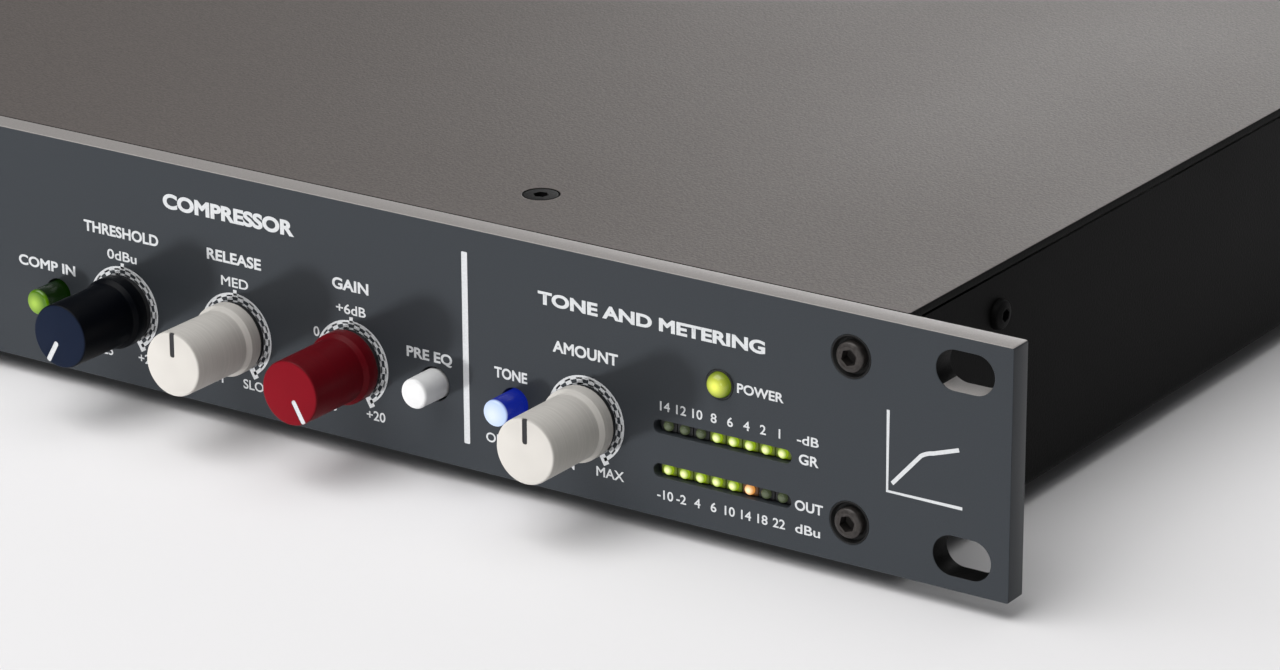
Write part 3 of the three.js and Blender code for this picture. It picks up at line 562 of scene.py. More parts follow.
# Turns for shapes that are made facing the front.
FACING_UP = rotation(-90, "X")
FACING_DOWN = rotation(90, "X")
FACING_BACK = rotation(180, "Z")


# ---- Controls and where they are ----

KNOB_FINISH = {
    "input_gain": RED, "trim": CREAM, "filter": NAVY, "low": NAVY, "mid": CREAM,
    "high": CREAM, "threshold": NAVY, "release": CREAM, "makeup_gain": RED, "amount": CREAM,
}
# Clockwise from the top, in degrees, as the knobs are set at rest.
KNOB_REST = {"threshold": -150, "makeup_gain": 150}

BUTTON_FINISH = {
    "phantom": GREEN_BUTTON, "line": WHITE, "eq_in": GREEN_BUTTON, "high_peak": WHITE,
    "comp_in": GREEN_BUTTON, "pre_eq": WHITE, "tone": BLUE_BUTTON,
}
SLOTS = {
    RED: "knob_red", CREAM: "knob_cream", NAVY: "knob_navy", WHITE: "button_white",
    GREEN_BUTTON: "button_lit_green", BLUE_BUTTON: "button_lit_blue",
}

KNOB_X = {name: place_of(f"{name}_knob")[0] for name in KNOB_FINISH}
KNOB_Z = place_of("threshold_knob")[2]
BUTTON_X = {name: place_of(f"{name}_button")[0] for name in BUTTON_FINISH}
BUTTON_Z = place_of("comp_in_button")[2]
PANEL_SCREWS = [
    f"panel_screw_{side}_{row}" for side in ("left", "right") for row in ("upper", "lower")
]
METER_X = place_of("output_meter")[0]
METER_Z = {name: place_of(f"{name}_meter")[2] for name in ("gain_reduction", "output")}
METER_LENGTH = 27.0
METER_HEIGHT = 2.4
LED_COUNT = 8
LAMP_X, _, LAMP_Z = place_of("power_led")
RACK_SLOT_X = 232.55
RACK_SLOT_RISE = 15.875
RACK_SLOT_LENGTH = 10.7
RACK_SLOT_HEIGHT = 6.9
SCREW_HOLE_RADIUS = 3.75
SHAFT_HOLE_RADIUS = 4.0
LAMP_HOLE_RADIUS = 2.65
BUTTON_CLEARANCE = 0.35


# ---- Front panel ----

# The panel's own paint, then painted light, then the case's black as painted shade.
PAINTED, PAINTED_LIGHT, PAINTED_SHADE = range(3)


def panel_face_finish(face):
    """Painted light on the top edge and upper slots' floors, painted shade on the slots' other
    walls.
    """
    x, z = abs(face.center.x) / MM, face.center.z / MM
    if z > PANEL_HEIGHT - EDGE:
        return PAINTED_LIGHT
    reach = RACK_SLOT_LENGTH / 2 + 0.1
    in_slot = abs(x - RACK_SLOT_X) < reach and 1 < z < PANEL_HEIGHT - 1
    if not in_slot or abs(face.normal.y) > 0.5:
        return PAINTED
    return PAINTED_LIGHT if face.normal.z > 0.8 and z > PANEL_HEIGHT / 2 else PAINTED_SHADE


def button_radius(name):
    low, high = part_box(f"{name}_button")
    return (high.x - low.x) / 2 / MM


def add_panel_plate():
    half = PANEL_WIDTH / 2
    outlines = [rounded_box(-half, 0, half, PANEL_HEIGHT, 0.4)]
    for sign in (-1, 1):
        for rise in (-RACK_SLOT_RISE, RACK_SLOT_RISE):
            middle = PANEL_HEIGHT / 2 + rise
            slot = slot_outline(sign * RACK_SLOT_X, middle, RACK_SLOT_LENGTH, RACK_SLOT_HEIGHT)
            outlines.append(slot)
    for x, _, z in map(place_of, PANEL_SCREWS):
        outlines.append(circle(x, z, SCREW_HOLE_RADIUS, 64))
    outlines += [circle(x, KNOB_Z, SHAFT_HOLE_RADIUS) for x in KNOB_X.values()]
    for name, x in BUTTON_X.items():
        outlines.append(circle(x, BUTTON_Z, button_radius(name) + BUTTON_CLEARANCE))
    outlines.append(circle(LAMP_X, LAMP_Z, LAMP_HOLE_RADIUS))
    outlines += [slot_outline(METER_X, z, METER_LENGTH, METER_HEIGHT) for z in METER_Z.values()]
    mesh = plate("panel_plate", outlines, 0, PANEL_THICKNESS)
    for finish in (PANEL, PAINTED_TOP_LIGHT, BLACK):
        mesh.materials.append(finish)
    for face in mesh.polygons:
        face.material_index = panel_face_finish(face)
    add_piece("panel_plate", mesh, "panel", ["front_panel"])


# ---- Printed marks ----

PRINT_FRONT = -0.02
PRINT_BACK = 0.02
PRINT_RISE = 0.015
CAP_HEIGHT = 0.729  # of the built-in face, for letters of size one
# How far strokes are thickened each way, for letters of size one.
THIN = 0.015
MEDIUM = 0.025
BOLD = 0.03
HEAVY = 0.045

HEADING_Z = 36.5
TITLE_Z = 28.5
LOW_TITLE_Z = 26.2
TOP_WORD_Z = 24.1
BUTTON_TITLE_Z = 19.1
END_WORD_Z = 5.6
END_WORD_ASIDE = 4.6
REAR_WORD_Z = 39.4

SCALE_SWEEP = 150  # degrees each way from the top
SCALE_TICKS = 16
SCALE_ARCS = ((7.45, 0.65), (6.3, 0.35))  # radius and width
TICK_START = 6.15
TICK_END = 7.4
LONG_TICK_END = 8.4
TICK_WIDTH = 1.2
TOP_TICK_WIDTH = 0.75

DIVIDERS = {"equaliser": -79, "compressor": 28, "output": 135}  # left of each section
DIVIDER_HALF_WIDTH = 0.6
DIVIDER_ENDS = (4.65, 39.3)
ICON_X, ICON_Z = 218.5, 14.5
ICON_SIZE = 14


def text_mesh(body, cap_height, width=None, weight=THIN):
    """Flat lettering centred on the origin, in x and z, as tall and as wide as asked."""
    text = bpy.data.curves.new("lettering", "FONT")
    text.body = body
    text.align_x = "CENTER"
    text.size = 1
    text.bevel_depth = weight
    text.bevel_resolution = 0
    text.resolution_u = 6
    mesh = curve_mesh("lettering", text, Matrix.Identity(4))
    xs = [v.co.x for v in mesh.vertices]
    upward = cap_height * MM / (CAP_HEIGHT + 2 * weight)
    across = width * MM / (max(xs) - min(xs)) if width else upward * 1.08
    middle = (max(xs) + min(xs)) / 2
    for v in mesh.vertices:
        x = (v.co.x - middle) * across
        z = (v.co.y - CAP_HEIGHT / 2) * upward
        v.co = (x, (PRINT_FRONT - PRINT_RISE * v.co.z / weight) * MM, z)
    return mesh


def strip(outline):
    return plate("strip", [outline], PRINT_FRONT, PRINT_BACK, edge=0.001)


def line(points, width):
    """Printed line of constant width through points."""
    left, right = [], []
    for i, point in enumerate(points):
        ahead = Vector(points[min(i + 1, len(points) - 1)])
        behind = Vector(points[max(i - 1, 0)])
        along = (ahead - behind).normalized()
        across = Vector((-along.y, along.x)) * width / 2
        left.append(tuple(Vector(point) + across))
        right.append(tuple(Vector(point) - across))
    return strip(left + right[::-1])


def on_dial(radius, degrees, x=0.0, z=0.0):
    angle = math.radians(degrees)
    return (x + radius * math.sin(angle), z + radius * math.cos(angle))


def over_sweep(steps):
    """Angles from one end of a knob's scale to the other, in equal steps."""
    return [-SCALE_SWEEP + 2 * SCALE_SWEEP * k / steps for k in range(steps + 1)]


def tick(x, degrees, start, end, width):
    ends = [on_dial(radius, degrees, x, KNOB_Z) for radius in (start, end)]
    return line(ends, width)


def scale_ring(x, top_mark):
    """Two arcs round a knob joined by ticks, with longer ones at the ends."""
    marks = []
    for radius, width in SCALE_ARCS:
        arc = [on_dial(radius, degrees, x, KNOB_Z) for degrees in over_sweep(60)]
        marks.append(line(arc, width))
    for degrees in over_sweep(SCALE_TICKS - 1):
        end = LONG_TICK_END if abs(degrees) == SCALE_SWEEP else TICK_END
        marks.append(tick(x, degrees, TICK_START, end, TICK_WIDTH))
    if top_mark:
        marks.append(tick(x, 0, TICK_END, LONG_TICK_END, TOP_TICK_WIDTH))
    return marks


def legend(body, x, z, cap_height, width=None, weight=THIN):
    return shifted(text_mesh(body, cap_height, width, weight), x, 0, z)


def heading(body, x, width):
    return legend(body, x, HEADING_Z, 2.95, width, HEAVY)


def knob_marks(name, title, title_width, top, top_width, low, high, high_aside=4.9):
    """Title above a knob, the word over its top tick and the words at its ends."""
    x = KNOB_X[name]
    marks = scale_ring(x, top_mark=top is not None)
    title_z = TITLE_Z if top else LOW_TITLE_Z
    marks.append(legend(title, x, title_z, 2.2, title_width, BOLD))
    if top:
        marks.append(legend(top, x, TOP_WORD_Z, 1.9, top_width))
    marks.append(legend(low, x - END_WORD_ASIDE, END_WORD_Z, 1.85))
    marks.append(legend(high, x + high_aside, END_WORD_Z, 1.85))
    return marks


def button_marks(name, title, width, aside=-0.9, below=None):
    """Title above a button, and a word below it where it has one."""
    x = BUTTON_X[name]
    marks = [legend(title, x + aside, BUTTON_TITLE_Z, 2.05, width, BOLD)]
    if below:
        marks.append(legend(below, x - 4, 6.9, 1.8, 4))
    return marks


def meter_marks():
    """A number for each lens, and what the meters and the lamp show."""
    marks = []
    first = METER_X - LED_PITCH * (LED_COUNT - 1) / 2
    rows = (
        ("14 12 10 8 6 4 2 1", METER_Z["gain_reduction"] + 3.8),
        ("-10 -2 4 6 10 14 18 22", METER_Z["output"] - 4.2),
    )
    for words, z in rows:
        for k, word in enumerate(words.split()):
            marks.append(legend(word, first + k * LED_PITCH, z, 1.75))
    return marks + [
        legend("-dB", 203.4, 19.9, 1.75, 4.2),
        legend("GR", 203.6, 16.5, 1.9, 3.8, MEDIUM),
        legend("OUT", 203.7, 8.3, 1.9, 5.4, MEDIUM),
        legend("dBu", 203.5, 4.2, 1.75, 4.8),
        legend("POWER", 194.2, LAMP_Z + 0.2, 1.8, 9.0, MEDIUM),
    ]


def knee_icon():
    """Small graph of a compressor's curve: two axes and a line with a soft knee."""
    left, low = ICON_X, ICON_Z
    axes = [(left, low + ICON_SIZE), (left, low), (left + ICON_SIZE, low)]
    bend = [(left + 6.2 + 2.2 * t, low + 7.4 + 1.5 * t - 0.6 * t * t) for t in
            [k / 8 for k in range(9)]]
    knee = [(left + 0.9, low + 1.5), *bend, (left + 13.2, low + 9.9)]
    return [line(axes, 0.55), line(knee, 0.7)]


def divider(x):
    low, high = DIVIDER_ENDS
    return strip(rounded_box(x - DIVIDER_HALF_WIDTH, low, x + DIVIDER_HALF_WIDTH, high, 0.2))


def section_marks():
    """What is printed on each section of the panel, apart from the dividers."""
    return {
        "input": [
            heading("INPUT", -128.7, 14),
            *knob_marks("input_gain", "GAIN", 7.8, "33", None, "0", "66"),
            *knob_marks("trim", "TRIM", 7.6, "0", None, "-6", "+6"),
            *knob_marks("filter", "FILTER", 10.6, "80", None, "20", "250"),
            *button_marks("phantom", "48V", 5.6),
            *button_marks("line", "LINE", 6.4),
        ],
        "equaliser": [
            heading("EQUALISER", -21.7, 25.5),
            *knob_marks("low", "LOW", 7.4, "0", None, "-15", "+15"),
            *knob_marks("mid", "MID", 6.6, "0", None, "-15", "+15"),
            *knob_marks("high", "HIGH", 8.0, "0", None, "-15", "+15"),
            *button_marks("eq_in", "EQ IN", 8.6),
            *button_marks("high_peak", "PEAK", 7.6),
        ],
        "compressor": [
            heading("COMPRESSOR", 84.3, 29),
            *knob_marks("threshold", "THRESHOLD", 17.0, "0dBu", 6.7, "-25", "+20"),
            *knob_marks("release", "RELEASE", 12.0, "MED", 6.0, "FST", "SLO", 3.5),
            *knob_marks("makeup_gain", "GAIN", 7.8, "+6dB", 6.4, "-6", "+20"),
            legend("0", KNOB_X["makeup_gain"] - 7.6, 18.7, 1.9),
            *button_marks("comp_in", "COMP IN", 13.2, -2.4),
            *button_marks("pre_eq", "PRE EQ", 9.6),
        ],
        "output": [
            legend("TONE AND METERING", 172.6, 34.3, 2.45, 45, 0.04),
            *knob_marks("amount", "AMOUNT", 13.2, None, None, "MIN", "MAX"),
            *button_marks("tone", "TONE", 6.8, -0.7, "ON"),
            *meter_marks(),
            *knee_icon(),
        ],
    }


def print_panel():
    for section, marks in section_marks().items():
        if section in DIVIDERS:
            marks.append(divider(DIVIDERS[section]))
        name = f"{section}_print"
        add_piece(name, dressed(joined(name, marks), PRINT), "button_white")


# ---- Knobs ----

KNOB_REACH = 17.7
POINTER_HALF_WIDTH = 0.5
POINTER_START = 1.3
POINTER_END = 5.75
GROOVE_END = 7


def pointer_outline(end, radius):
    return rounded_box(-POINTER_HALF_WIDTH, POINTER_START, POINTER_HALF_WIDTH, end, radius)


def knob_mesh():
    """Hollow turned knob with a flared collar and a groove in its face for the pointer."""
    body = turned("knob", [
        (0, 14.3),
        (3.3, 14.3),
        (3.3, 1.2, 0.1),
        (6.5, 1.2, 0.25),
        (6.5, 3.7, 0.25),
        (5.85, 4.6, 0.3),
        (5.83, KNOB_REACH, 0.4),
        (0, KNOB_REACH),
    ], 96)
    groove = plate("groove", [pointer_outline(GROOVE_END, 0.45)],
                   -KNOB_REACH - 1, 0.35 - KNOB_REACH, edge=0.02)
    return carved(body, groove)


def add_knob(name, shape, material):
    """Knob, its pointer line in the groove, and a dark ring that stays on the panel round its
    shaft.
    """
    node = f"{name}_knob"
    turn = KNOB_REST.get(name, 0)
    place = (KNOB_X[name], 0, KNOB_Z)
    knob = dressed(shape, material)
    add_piece(f"{name}_knob_body", knob, SLOTS[material], [node], place, node, turn)
    pointer = plate(f"{name}_pointer", [pointer_outline(POINTER_END, 0.4)],
                    0.06 - KNOB_REACH, 0.36 - KNOB_REACH, edge=0.04)
    ink, slot = (INK, "screw") if material is CREAM else (PRINT, "button_white")
    add_piece(f"{name}_pointer", dressed(pointer, ink), slot, [], place, node, turn)
    # A dark ring round the shaft, which darkens the gap between the knob and the panel.
    dark_ring = turned(f"{name}_washer", [
        (3.2, -0.2), (5.9, -0.2), (5.9, 0.7, 0.15), (3.2, 0.7, 0.1), (3.2, -0.2),
    ], 64, 3)
    add_piece(f"{name}_washer", dressed(dark_ring, DARK), "connector_black", place=place)


def add_knobs():
    shape = knob_mesh()
    for name, material in KNOB_FINISH.items():
        add_knob(name, shape.copy(), material)


# ---- Buttons and indicators ----


def add_buttons():
    for name, material in BUTTON_FINISH.items():
        node = f"{name}_button"
        radius = button_radius(name)
        mesh = turned(f"{name}_cap", [
            (0, -9.7),
            (1.7, -9.7),
            (1.7, -2),
            (radius, -2, 0.2),
            (radius - 0.05, 6, 0.55),
            (0, 6.02),
        ])
        place = (BUTTON_X[name], 0, BUTTON_Z)
        add_piece(f"{name}_cap", dressed(mesh, material), SLOTS[material], [node], place, node)


def add_power_lamp():
    """Domed lens in a black collar, on a stem that reaches the control board."""
    dome = turned("dome", [(0, -19.7), (2.2, -19.7), (2.2, 1.6, 1.5), (0, 1.62)], 64, 10)
    collar = turned("collar", [
        (2.2, -2), (2.62, -2), (2.62, 0.05, 0.1), (2.25, 0.05, 0.1), (2.2, -2),
    ], 64, 3)
    mesh = joined("power_lamp_dome", [dressed(dome, LAMP), dressed(collar, DARK)])
    add_piece("power_lamp_dome", mesh, "green_lens", ["power_led"], (LAMP_X, 0, LAMP_Z))


PAINTED_GLOW = {LED_GREEN: GREEN_PAINTED_GLOW, LED_AMBER: AMBER_PAINTED_GLOW, LED_OFF_PAINTED_GLOW: DARK}


def led(x, material):
    """One domed lens on its square of the bar, which glows with painted light from the lens."""
    lens = turned("led", [(0, -3), (0.92, -3), (0.92, -0.55, 0.6), (0, -0.5)], 24)
    square = plate("square", [centred_box(1.5, 0.95, 0.1)], 1.3, 1.6, edge=0.04)
    return [dressed(shifted(lens, x), material), dressed(shifted(square, x), PAINTED_GLOW[material])]


def add_meter(name, lit):
    """Black bar deep in its slot, with eight lenses."""
    bar = plate("bar", [slot_outline(0, 0, METER_LENGTH - 0.6, METER_HEIGHT - 0.3)],
                1.5, 19.7, edge=0.1)
    parts = [dressed(bar, DARK)]
    for k, material in enumerate(lit):
        parts += led((k - (LED_COUNT - 1) / 2) * LED_PITCH, material)
    mesh = joined(f"{name}_meter_bar", parts)
    place = (METER_X, 0, METER_Z[name])
    add_piece(f"{name}_meter_bar", mesh, "meter_lens", [f"{name}_meter"], place)


# ---- Screws ----

SOCKET_TURN = 0.3  # radians


def socket_cutter(across_flats, bottom, top):
    hexagon = circle(0, 0, across_flats / math.sqrt(3), 6, SOCKET_TURN)
    return plate("socket", [hexagon], -top, -bottom, edge=0.02)


def add_panel_screws():
    """Domed socket heads in black cup washers."""
    for name in PANEL_SCREWS:
        head = turned("head", [
            (0, -4), (1.4, -4), (1.4, -2.4), (2.6, -2.4), (2.6, 0.45, 0.45),
            (1.9, 0.8, 0.2), (1.6, 0.72, 0.1), (0, 0.72),
        ])
        head = carved(head, socket_cutter(2.6, -1.2, 1.5))
        cup = turned("cup", [
            (2.6, -3.6), (3.72, -3.6), (3.72, 0.02, 0.05), (3.5, 0.0, 0.05),
            (3.2, -0.8, 0.1), (2.6, -0.9, 0.1), (2.6, -3.6),
        ], 64, 3)
        mesh = joined(f"{name}_set", [dressed(head, SCREW), dressed(cup, PIT)])
        x, _, z = place_of(name)
        add_piece(f"{name}_set", mesh, "screw", [name], (x, 0, z))


def add_cover_screws():
    """Countersunk heads, a little below the lid's top."""
    for corner in CORNERS:
        name = f"cover_screw_{corner}"
        head = turned(name, [
            (0, -5.6), (1.4, -5.6), (1.4, -2), (3.05, -0.25), (3.05, -0.08, 0.05), (0, -0.08),
        ])
        head = carved(head, socket_cutter(2.4, -1.5, 1))
        head.transform(FACING_UP)
        x, y, _ = place_of(name)
        place = (x, y, PANEL_HEIGHT)
        add_piece(f"{name}_head", dressed(head, BLACK), "screw", [name], place)


def add_side_screws():
    """Domed heads that stand out from the case's sides."""
    for side, sign in (("left", -1), ("right", 1)):
        name = f"side_screw_{side}"
        head = turned(name, [
            (0, -6), (1.4, -6), (1.4, 0.05), (2.7, 0.05, 0.1), (2.45, 1.15, 0.5),
            (1.3, 1.5, 0.2), (0, 1.5),
        ])
        head = carved(head, socket_cutter(2, 0.4, 2))
        head.transform(rotation(sign * 90, "Z"))
        _, y, z = place_of(name)
        place = (sign * CASE_HALF_WIDTH, y, z)
        add_piece(f"{name}_head", dressed(head, BLACK), "screw", [name], place)


# ---- Case ----

COVER_HOLE_RADIUS = 3.2


def add_cover():
    """Flat lid with holes for its screws' heads, and a flange inside each side wall."""
    half = CASE_HALF_WIDTH
    outlines = [rounded_box(-half, CASE_FRONT + 0.1, half, CASE_BACK, 0.6)]
    for corner in CORNERS:
        x, y, _ = place_of(f"cover_screw_{corner}")
        outlines.append(circle(x, y, COVER_HOLE_RADIUS, 64))
    lid = plate("lid", outlines, -PANEL_HEIGHT, SHEET - PANEL_HEIGHT, edge=0.3)
    lid.transform(FACING_UP)
    lid.materials.append(COVER_PAINTED_SHEEN)
    lid.materials.append(BLACK)
    # Faces that look up or down take the painted sheen, the cut edges the case's black.
    for face in lid.polygons:
        face.material_index = 0 if abs(face.normal.z) > 0.9 else 1
    flanges = []
    for sign in (-1, 1):
        inner, outer = sorted((sign * (half - 3.0), sign * (half - 1.8)))
        flange = block("flange", (inner, CASE_FRONT + 6, PANEL_HEIGHT - 12.5),
                       (outer, CASE_BACK - 18, PANEL_HEIGHT - 1.6), 0.1)
        flanges.append(dressed(flange, BLACK))
    add_piece("cover_lid", joined("cover_lid", [lid, *flanges]), "cover", ["top_cover"])


def add_tray():
    """Folded tray: one sheet bent up at both sides with small outside radii, and two tabs."""
    half = CASE_HALF_WIDTH
    top = UNDER_LID
    outer = [(-half, top), (-half, 0, 2), (half, 0, 2), (half, top)]
    inner = [(half - SHEET, top), (half - SHEET, SHEET, 0.6),
             (-half + SHEET, SHEET, 0.6), (-half + SHEET, top)]
    sheet = plate("sheet", [filleted(outer + inner, 5)], CASE_FRONT, CASE_BACK)
    tabs = []
    for sign in (-1, 1):
        inside, outside = sorted((sign * (half - 16), sign * (half - SHEET + 0.1)))
        tabs.append(block("tab", (inside, CASE_FRONT, SHEET), (outside, CASE_FRONT + SHEET, top)))
    mesh = dressed(joined("folded_tray", [sheet, *tabs]), BLACK)
    add_piece("folded_tray", mesh, "case_black", ["base_tray"])


def add_rear_panel():
    """Wall with an opening for each connector, and a flange under the lid."""
    half = CASE_HALF_WIDTH - SHEET - GAP
    middle = PANEL_HEIGHT / 2
    outlines = [rounded_box(-half, SHEET + GAP, half, UNDER_LID, 0.5)]
    for name in ("mic_input_socket", "line_input_socket", "output_connector"):
        outlines.append(circle(place_of(name)[0], middle, 11.9, 64))
    inlet, switch = place_of("power_inlet")[0], place_of("power_switch_housing")[0]
    outlines.append(centred_box(13.9, 10.2, 0.5, inlet, middle))
    outlines.append(centred_box(6.8, 9.8, 0.5, switch, middle))
    wall = plate("wall", outlines, CASE_BACK - SHEET, CASE_BACK, edge=0.12)
    flange = block("flange", (-half + 3, CASE_BACK - 15, UNDER_LID - SHEET),
                   (half - 3, CASE_BACK - SHEET, UNDER_LID), 0.15)
    mesh = dressed(joined("rear_plate", [wall, flange]), BLACK)
    add_piece("rear_plate", mesh, "case_black", ["rear_panel"])


def add_feet():
    """Rubber bumpers that stand on the floor, each with a dish in its underside."""
    drop = PANEL_LOW.z / MM - GAP
    dish = drop - 1
    for corner in CORNERS:
        name = f"foot_{corner}"
        mesh = turned(name, [
            (0, 0), (6.5, 0, 0.3), (6.2, drop, 0.7), (3, drop, 0.3), (2.6, dish, 0.2), (0, dish),
        ])
        mesh.transform(FACING_DOWN)
        x, y, _ = place_of(name)
        place = (x, y, -GAP)
        add_piece(f"{name}_bumper", dressed(mesh, RUBBER), "rubber_foot", [name], place)


# ---- Rear connectors ----

MOUTH_RADIUS = 9.6
BARREL_RADIUS = 11.6
CONTACT_RING = 3.9  # radius
FLANGE_SCREW_X, FLANGE_SCREW_Z = 9.5, 12
FLANGE_FACES = (GAP, GAP + 2)


def rear_turned(name, corners, segments=64, steps=4):
    """Turned piece whose heights are measured outwards from the rear panel."""
    mesh = turned(name, corners, segments, steps)
    mesh.transform(FACING_BACK)
    return mesh


def add_rear_fitting(name, parts):
    """Joins parts into one piece that stands for a node on the rear panel."""
    x, _, z = place_of(name)
    mesh = joined(f"{name}_body", parts)
    add_piece(f"{name}_body", mesh, "connector_black", [name], (x, CASE_BACK, z))


def connector_flange():
    outline = centred_box(13, 15.5, 2.5)
    mouth = circle(0, 0, MOUTH_RADIUS, 64)
    screws = [circle(sign * FLANGE_SCREW_X, sign * FLANGE_SCREW_Z, 1.6, 32) for sign in (-1, 1)]
    return plate("flange", [outline, mouth, *screws], *FLANGE_FACES, edge=0.35)


def flange_screws():
    heads = []
    for sign in (-1, 1):
        head = rear_turned("flange_screw", [
            (0, 0.4), (1.55, 0.4), (1.55, 1.75, 0.4), (0, 1.95),
        ], 32)
        slot = plate("slot", [centred_box(2, 0.2, 0.05)], 1.5, 3, edge=0.02)
        head = carved(head, slot)
        shifted(head, sign * FLANGE_SCREW_X, 0, sign * FLANGE_SCREW_Z)
        heads.append(dressed(head, SCREW))
    return heads


def add_input_socket(name):
    """Panel socket: insert with three contact holes, a ring groove and a release tab."""
    insert = rear_turned("insert", [(0, -13), (7.4, -13), (7.4, 1.6, 0.4), (0, 1.6)])
    holes = []
    for k in range(3):
        x, z = on_dial(CONTACT_RING, 180 + 70 * (k - 1))
        holes.append(plate("hole", [circle(x, z, 1.3, 32)], -8, 3, edge=0.05))
    insert = carved(insert, *holes)
    barrel = rear_turned("barrel", [
        (MOUTH_RADIUS, -13), (BARREL_RADIUS, -13), (BARREL_RADIUS, 0.4),
        (MOUTH_RADIUS, 0.4), (MOUTH_RADIUS, -13),
    ])
    floor = rear_turned("floor", [
        (0, -14), (BARREL_RADIUS, -14), (BARREL_RADIUS, -12.9), (0, -12.9),
    ])
    tab = block("tab", (-3.2, GAP + 1.9, 9.8), (3.2, GAP + 2.0, 14), 0.04)
    parts = [dressed(mesh, DARK) for mesh in (connector_flange(), insert, barrel, floor)]
    parts.append(dressed(tab, CONTACT))
    add_rear_fitting(name, parts + flange_screws())


def add_output_connector():
    """Panel plug: a deep round shell with three silvered pins."""
    shell = rear_turned("shell", [
        (0, -14), (BARREL_RADIUS, -14), (BARREL_RADIUS, 0.4), (MOUTH_RADIUS, 0.4),
        (MOUTH_RADIUS - 0.3, -12.8, 0.3), (0, -12.8),
    ])
    parts = [dressed(connector_flange(), DARK), dressed(shell, DARK)]
    for k in range(3):
        x, z = on_dial(CONTACT_RING, 70 * (k - 1))
        pin = rear_turned("pin", [(0, -13), (1.2, -13), (1.2, -1.2, 0.9), (0, -1.1)], 24)
        parts.append(dressed(shifted(pin, x, 0, z), CONTACT))
    add_rear_fitting("output_connector", parts + flange_screws())


def add_power_inlet():
    """Mains inlet: a socket with two cut corners round three blades."""
    mouth = filleted([(-12, -8, 1), (12, -8, 1), (12, 4, 0.6), (8, 8, 0.6), (-8, 8, 0.6),
                      (-12, 4, 0.6)])
    outside = centred_box(13.5, 9.9, 1)
    flange = plate("flange", [centred_box(15.5, 12, 2), mouth], *FLANGE_FACES, edge=0.35)
    sleeve = plate("sleeve", [outside, mouth], -13, 1, edge=0.05)
    back = plate("back", [outside], -15, -12.9, edge=0.05)
    parts = [dressed(mesh, DARK) for mesh in (flange, sleeve, back)]
    for x, z in ((-7, -2), (0, 2), (7, -2)):
        blade = block("blade", (x - 1, -13, z - 2), (x + 1, 0.5, z + 2), 0.35)
        parts.append(dressed(blade, CONTACT))
    add_rear_fitting("power_inlet", parts)


def add_power_switch():
    """Housing that the rocker sits in."""
    window = centred_box(5.1, 7.9, 0.4)
    outside = centred_box(6.5, 9.5, 0.5)
    bezel = plate("bezel", [centred_box(7.8, 10.8, 1.2), window], *FLANGE_FACES, edge=0.3)
    sleeve = plate("sleeve", [outside, window], -8, 1, edge=0.05)
    back = plate("back", [outside], -9, -7.9, edge=0.05)
    parts = [dressed(mesh, DARK) for mesh in (bezel, sleeve, back)]
    add_rear_fitting("power_switch_housing", parts)


ROCKER_PIVOT = 1.9  # outside the rear panel
ROCKER_TILT = 9  # degrees
ROCKER_REACH = 7.4
ROCKER_HALF_WIDTH = 4.8


def add_rocker():
    """Rocker with a shallow V face and raised on and off marks, tilted to its on side."""
    arm = math.radians(13.6)
    angles = [-math.pi - arm + (math.pi + 2 * arm) * k / 40 for k in range(41)]
    section = [(ROCKER_REACH * math.cos(a), ROCKER_REACH * math.sin(a)) for a in angles]
    section.append((0, 0.6))
    body = plate("rocker", [section], -ROCKER_HALF_WIDTH, ROCKER_HALF_WIDTH, edge=0.25)
    # The section's across becomes z, its height y and its depth x.
    turn = Matrix(((0, 1, 0, 0), (0, 0, 1, 0), (1, 0, 0, 0), (0, 0, 0, 1)))
    body.transform(turn)
    on_mark = [centred_box(0.25, 1.3, 0.2)]
    off_mark = [circle(0, 0, 1.4, 32), circle(0, 0, 0.95, 32)]
    marks = []
    for sign, outlines in ((1, on_mark), (-1, off_mark)):
        mark = plate("mark", outlines, -0.04, 0.04, edge=0.005)
        mark.transform(rotation(-sign * ROCKER_TILT, "X"))
        marks.append(dressed(shifted(mark, 0, 1.24, sign * 4.0), PRINT))
    mesh = joined("rocker_cap", [dressed(body, GLOSS), *marks])
    mesh.transform(rotation(ROCKER_TILT, "X"))
    x, _, z = place_of("power_switch_housing")
    place = (x, CASE_BACK + ROCKER_PIVOT, z)
    add_piece("rocker_cap", mesh, "rocker_black", ["power_rocker"], place, "power_rocker")


def print_rear():
    words = {
        "mic_input_socket": "MIC IN", "line_input_socket": "LINE IN",
        "output_connector": "LINE OUT", "power_inlet": "MAINS", "power_switch_housing": "POWER",
    }
    marks = []
    for node, word in words.items():
        mark = text_mesh(word, 2.1, weight=MEDIUM)
        mark.transform(FACING_BACK)
        marks.append(shifted(mark, place_of(node)[0], 0, REAR_WORD_Z))
    mesh = dressed(joined("rear_print", marks), PRINT)
    add_piece("rear_print", mesh, "button_white", place=(0, CASE_BACK, 0))


# ---- Pieces kept from the CAD ----


def dress_inner_nodes():
    finishes = {
        "front_rail": BARE, "control_board": BOARD, "main_board": BOARD,
        "mains_transformer": WINDING, "input_transformer": CAN, "output_transformer": CAN,
    }
    finishes.update({f"{name}_shaft": STEEL for name in KNOB_FINISH})
    for node, material in finishes.items():
        dressed(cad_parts[node].data, material)


# ---- Studio ----


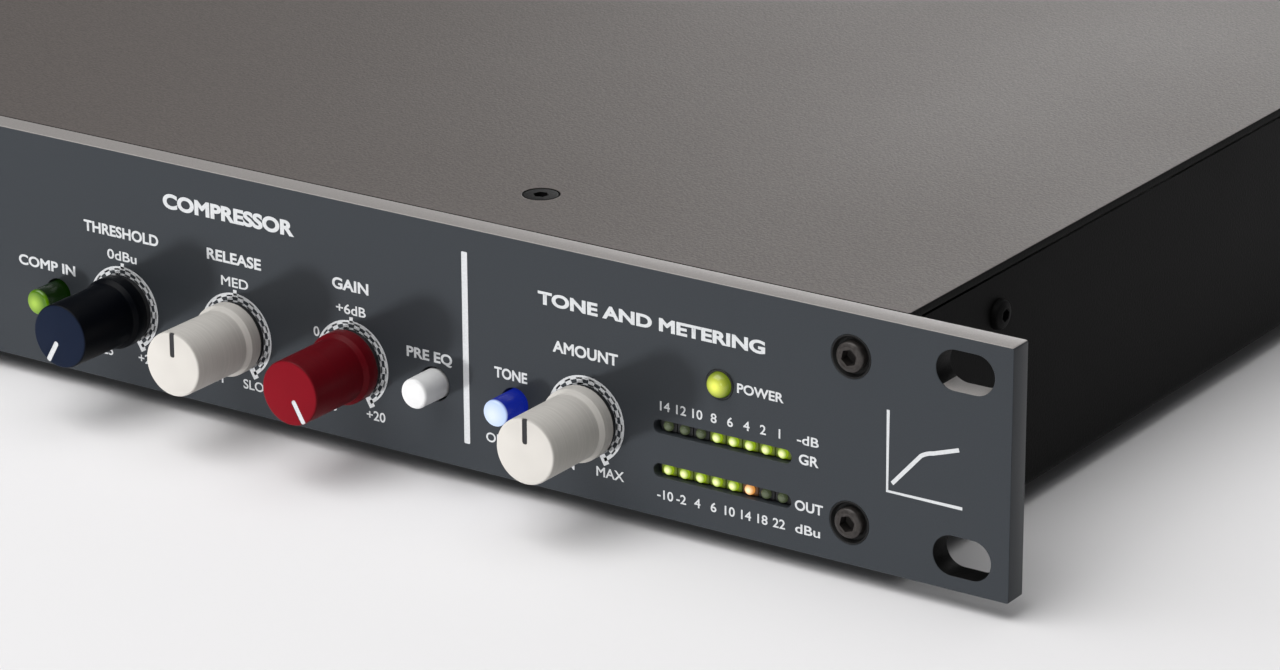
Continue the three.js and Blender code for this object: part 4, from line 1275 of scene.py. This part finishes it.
def add_floor():
    """Paper that casts no shadow, so that the low key light passes through it."""
    bm = bmesh.new()
    bmesh.ops.create_grid(bm, x_segments=1, y_segments=1, size=6)
    floor = in_scene("studio_floor", finished(bm, "studio_floor"))
    finish = Finish("floor_paper", (0.81, 0.8, 0.805), 0.8, specular=0)
    finish.tint(finish.spread(finish.noise(600)), 0.99, 1.01)
    floor.data.materials.append(finish.material)
    floor.visible_shadow = False
    floor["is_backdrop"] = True


def add_light(name, aim, offset, size, watts):
    """White rectangular light at an offset from its aim, in metres."""
    light = bpy.data.lights.new(name, "AREA")
    light.shape = "RECTANGLE"
    light.size, light.size_y = size
    light.energy = watts
    holder = in_scene(name, light)
    place = aim + Vector(offset)
    holder.location = place
    holder.rotation_euler = (aim - place).to_track_quat("-Z", "Y").to_euler()
    return holder


def add_lights():
    """Key from below the front left, softboxes over the front and the unit, and small fills.

    The back card is only for highlights on the lid, and the rear fill lights the connectors.
    """
    aim = at(130, 0, 20)
    rear = at(0, CASE_BACK, 20)
    key = add_light("low_key", aim, (-1.536, -1.608, -0.912), (0.24, 0.24), 61)
    key.visible_glossy = False
    add_light("top_softbox", aim, (-0.5, -0.9, 1.6), (2.0, 1.7), 36)
    add_light("front_fill", aim, (0.7, -2.2, 0.35), (0.5, 0.5), 5)
    add_light("overhead", aim, (0.1, 0.1, 1.8), (2.0, 2.0), 14)
    card = add_light("back_card", aim, (-0.35, 1.7, 0.75), (1.3, 0.6), 11)
    card.visible_diffuse = False
    add_light("rear_fill", rear, (-0.3, 1.2, 0.1), (0.8, 0.25), 7)


def add_world():
    world = bpy.data.worlds.new("studio")
    world.use_nodes = True
    background = world.node_tree.nodes["Background"]
    background.inputs["Color"].default_value = (0.95, 0.97, 1, 1)
    background.inputs["Strength"].default_value = 0.09
    bpy.context.scene.world = world
    bpy.context.scene.view_settings.view_transform = "Standard"


CAMERA_LENS = 138.28
CAMERA_PLACE = (596.23, -630.75, 311.84)
CAMERA_AZIMUTH = 34.01
CAMERA_DROP = 20.22  # degrees below level
CAMERA_ROLL = -0.25


def add_camera():
    data = bpy.data.cameras.new("camera")
    data.sensor_width = 36
    data.lens = CAMERA_LENS
    data.clip_start = 0.05
    camera = in_scene("camera", data)
    camera.location = at(*CAMERA_PLACE)
    look = rotation(CAMERA_AZIMUTH, "Z") @ rotation(90 - CAMERA_DROP, "X")
    camera.rotation_euler = (look @ rotation(CAMERA_ROLL, "Z")).to_euler()
    bpy.context.scene.camera = camera


# ---- Assembly ----

add_camera()
add_floor()
add_lights()
add_world()

add_panel_plate()
print_panel()
add_knobs()
add_buttons()
add_power_lamp()
add_meter("gain_reduction", [LED_OFF_PAINTED_GLOW] * 3 + [LED_GREEN] * 5)
add_meter("output", [LED_GREEN] * 5 + [LED_AMBER] + [LED_OFF_PAINTED_GLOW] * 2)
add_panel_screws()
add_cover_screws()
add_side_screws()
add_cover()
add_tray()
add_rear_panel()
add_feet()
add_input_socket("mic_input_socket")
add_input_socket("line_input_socket")
add_output_connector()
add_power_inlet()
add_power_switch()
add_rocker()
print_rear()
dress_inner_nodes()

boxes = {"cad": CAD_BOUNDS, "visual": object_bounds()}
{name: [list(corner) for corner in box] for name, box in boxes.items()}
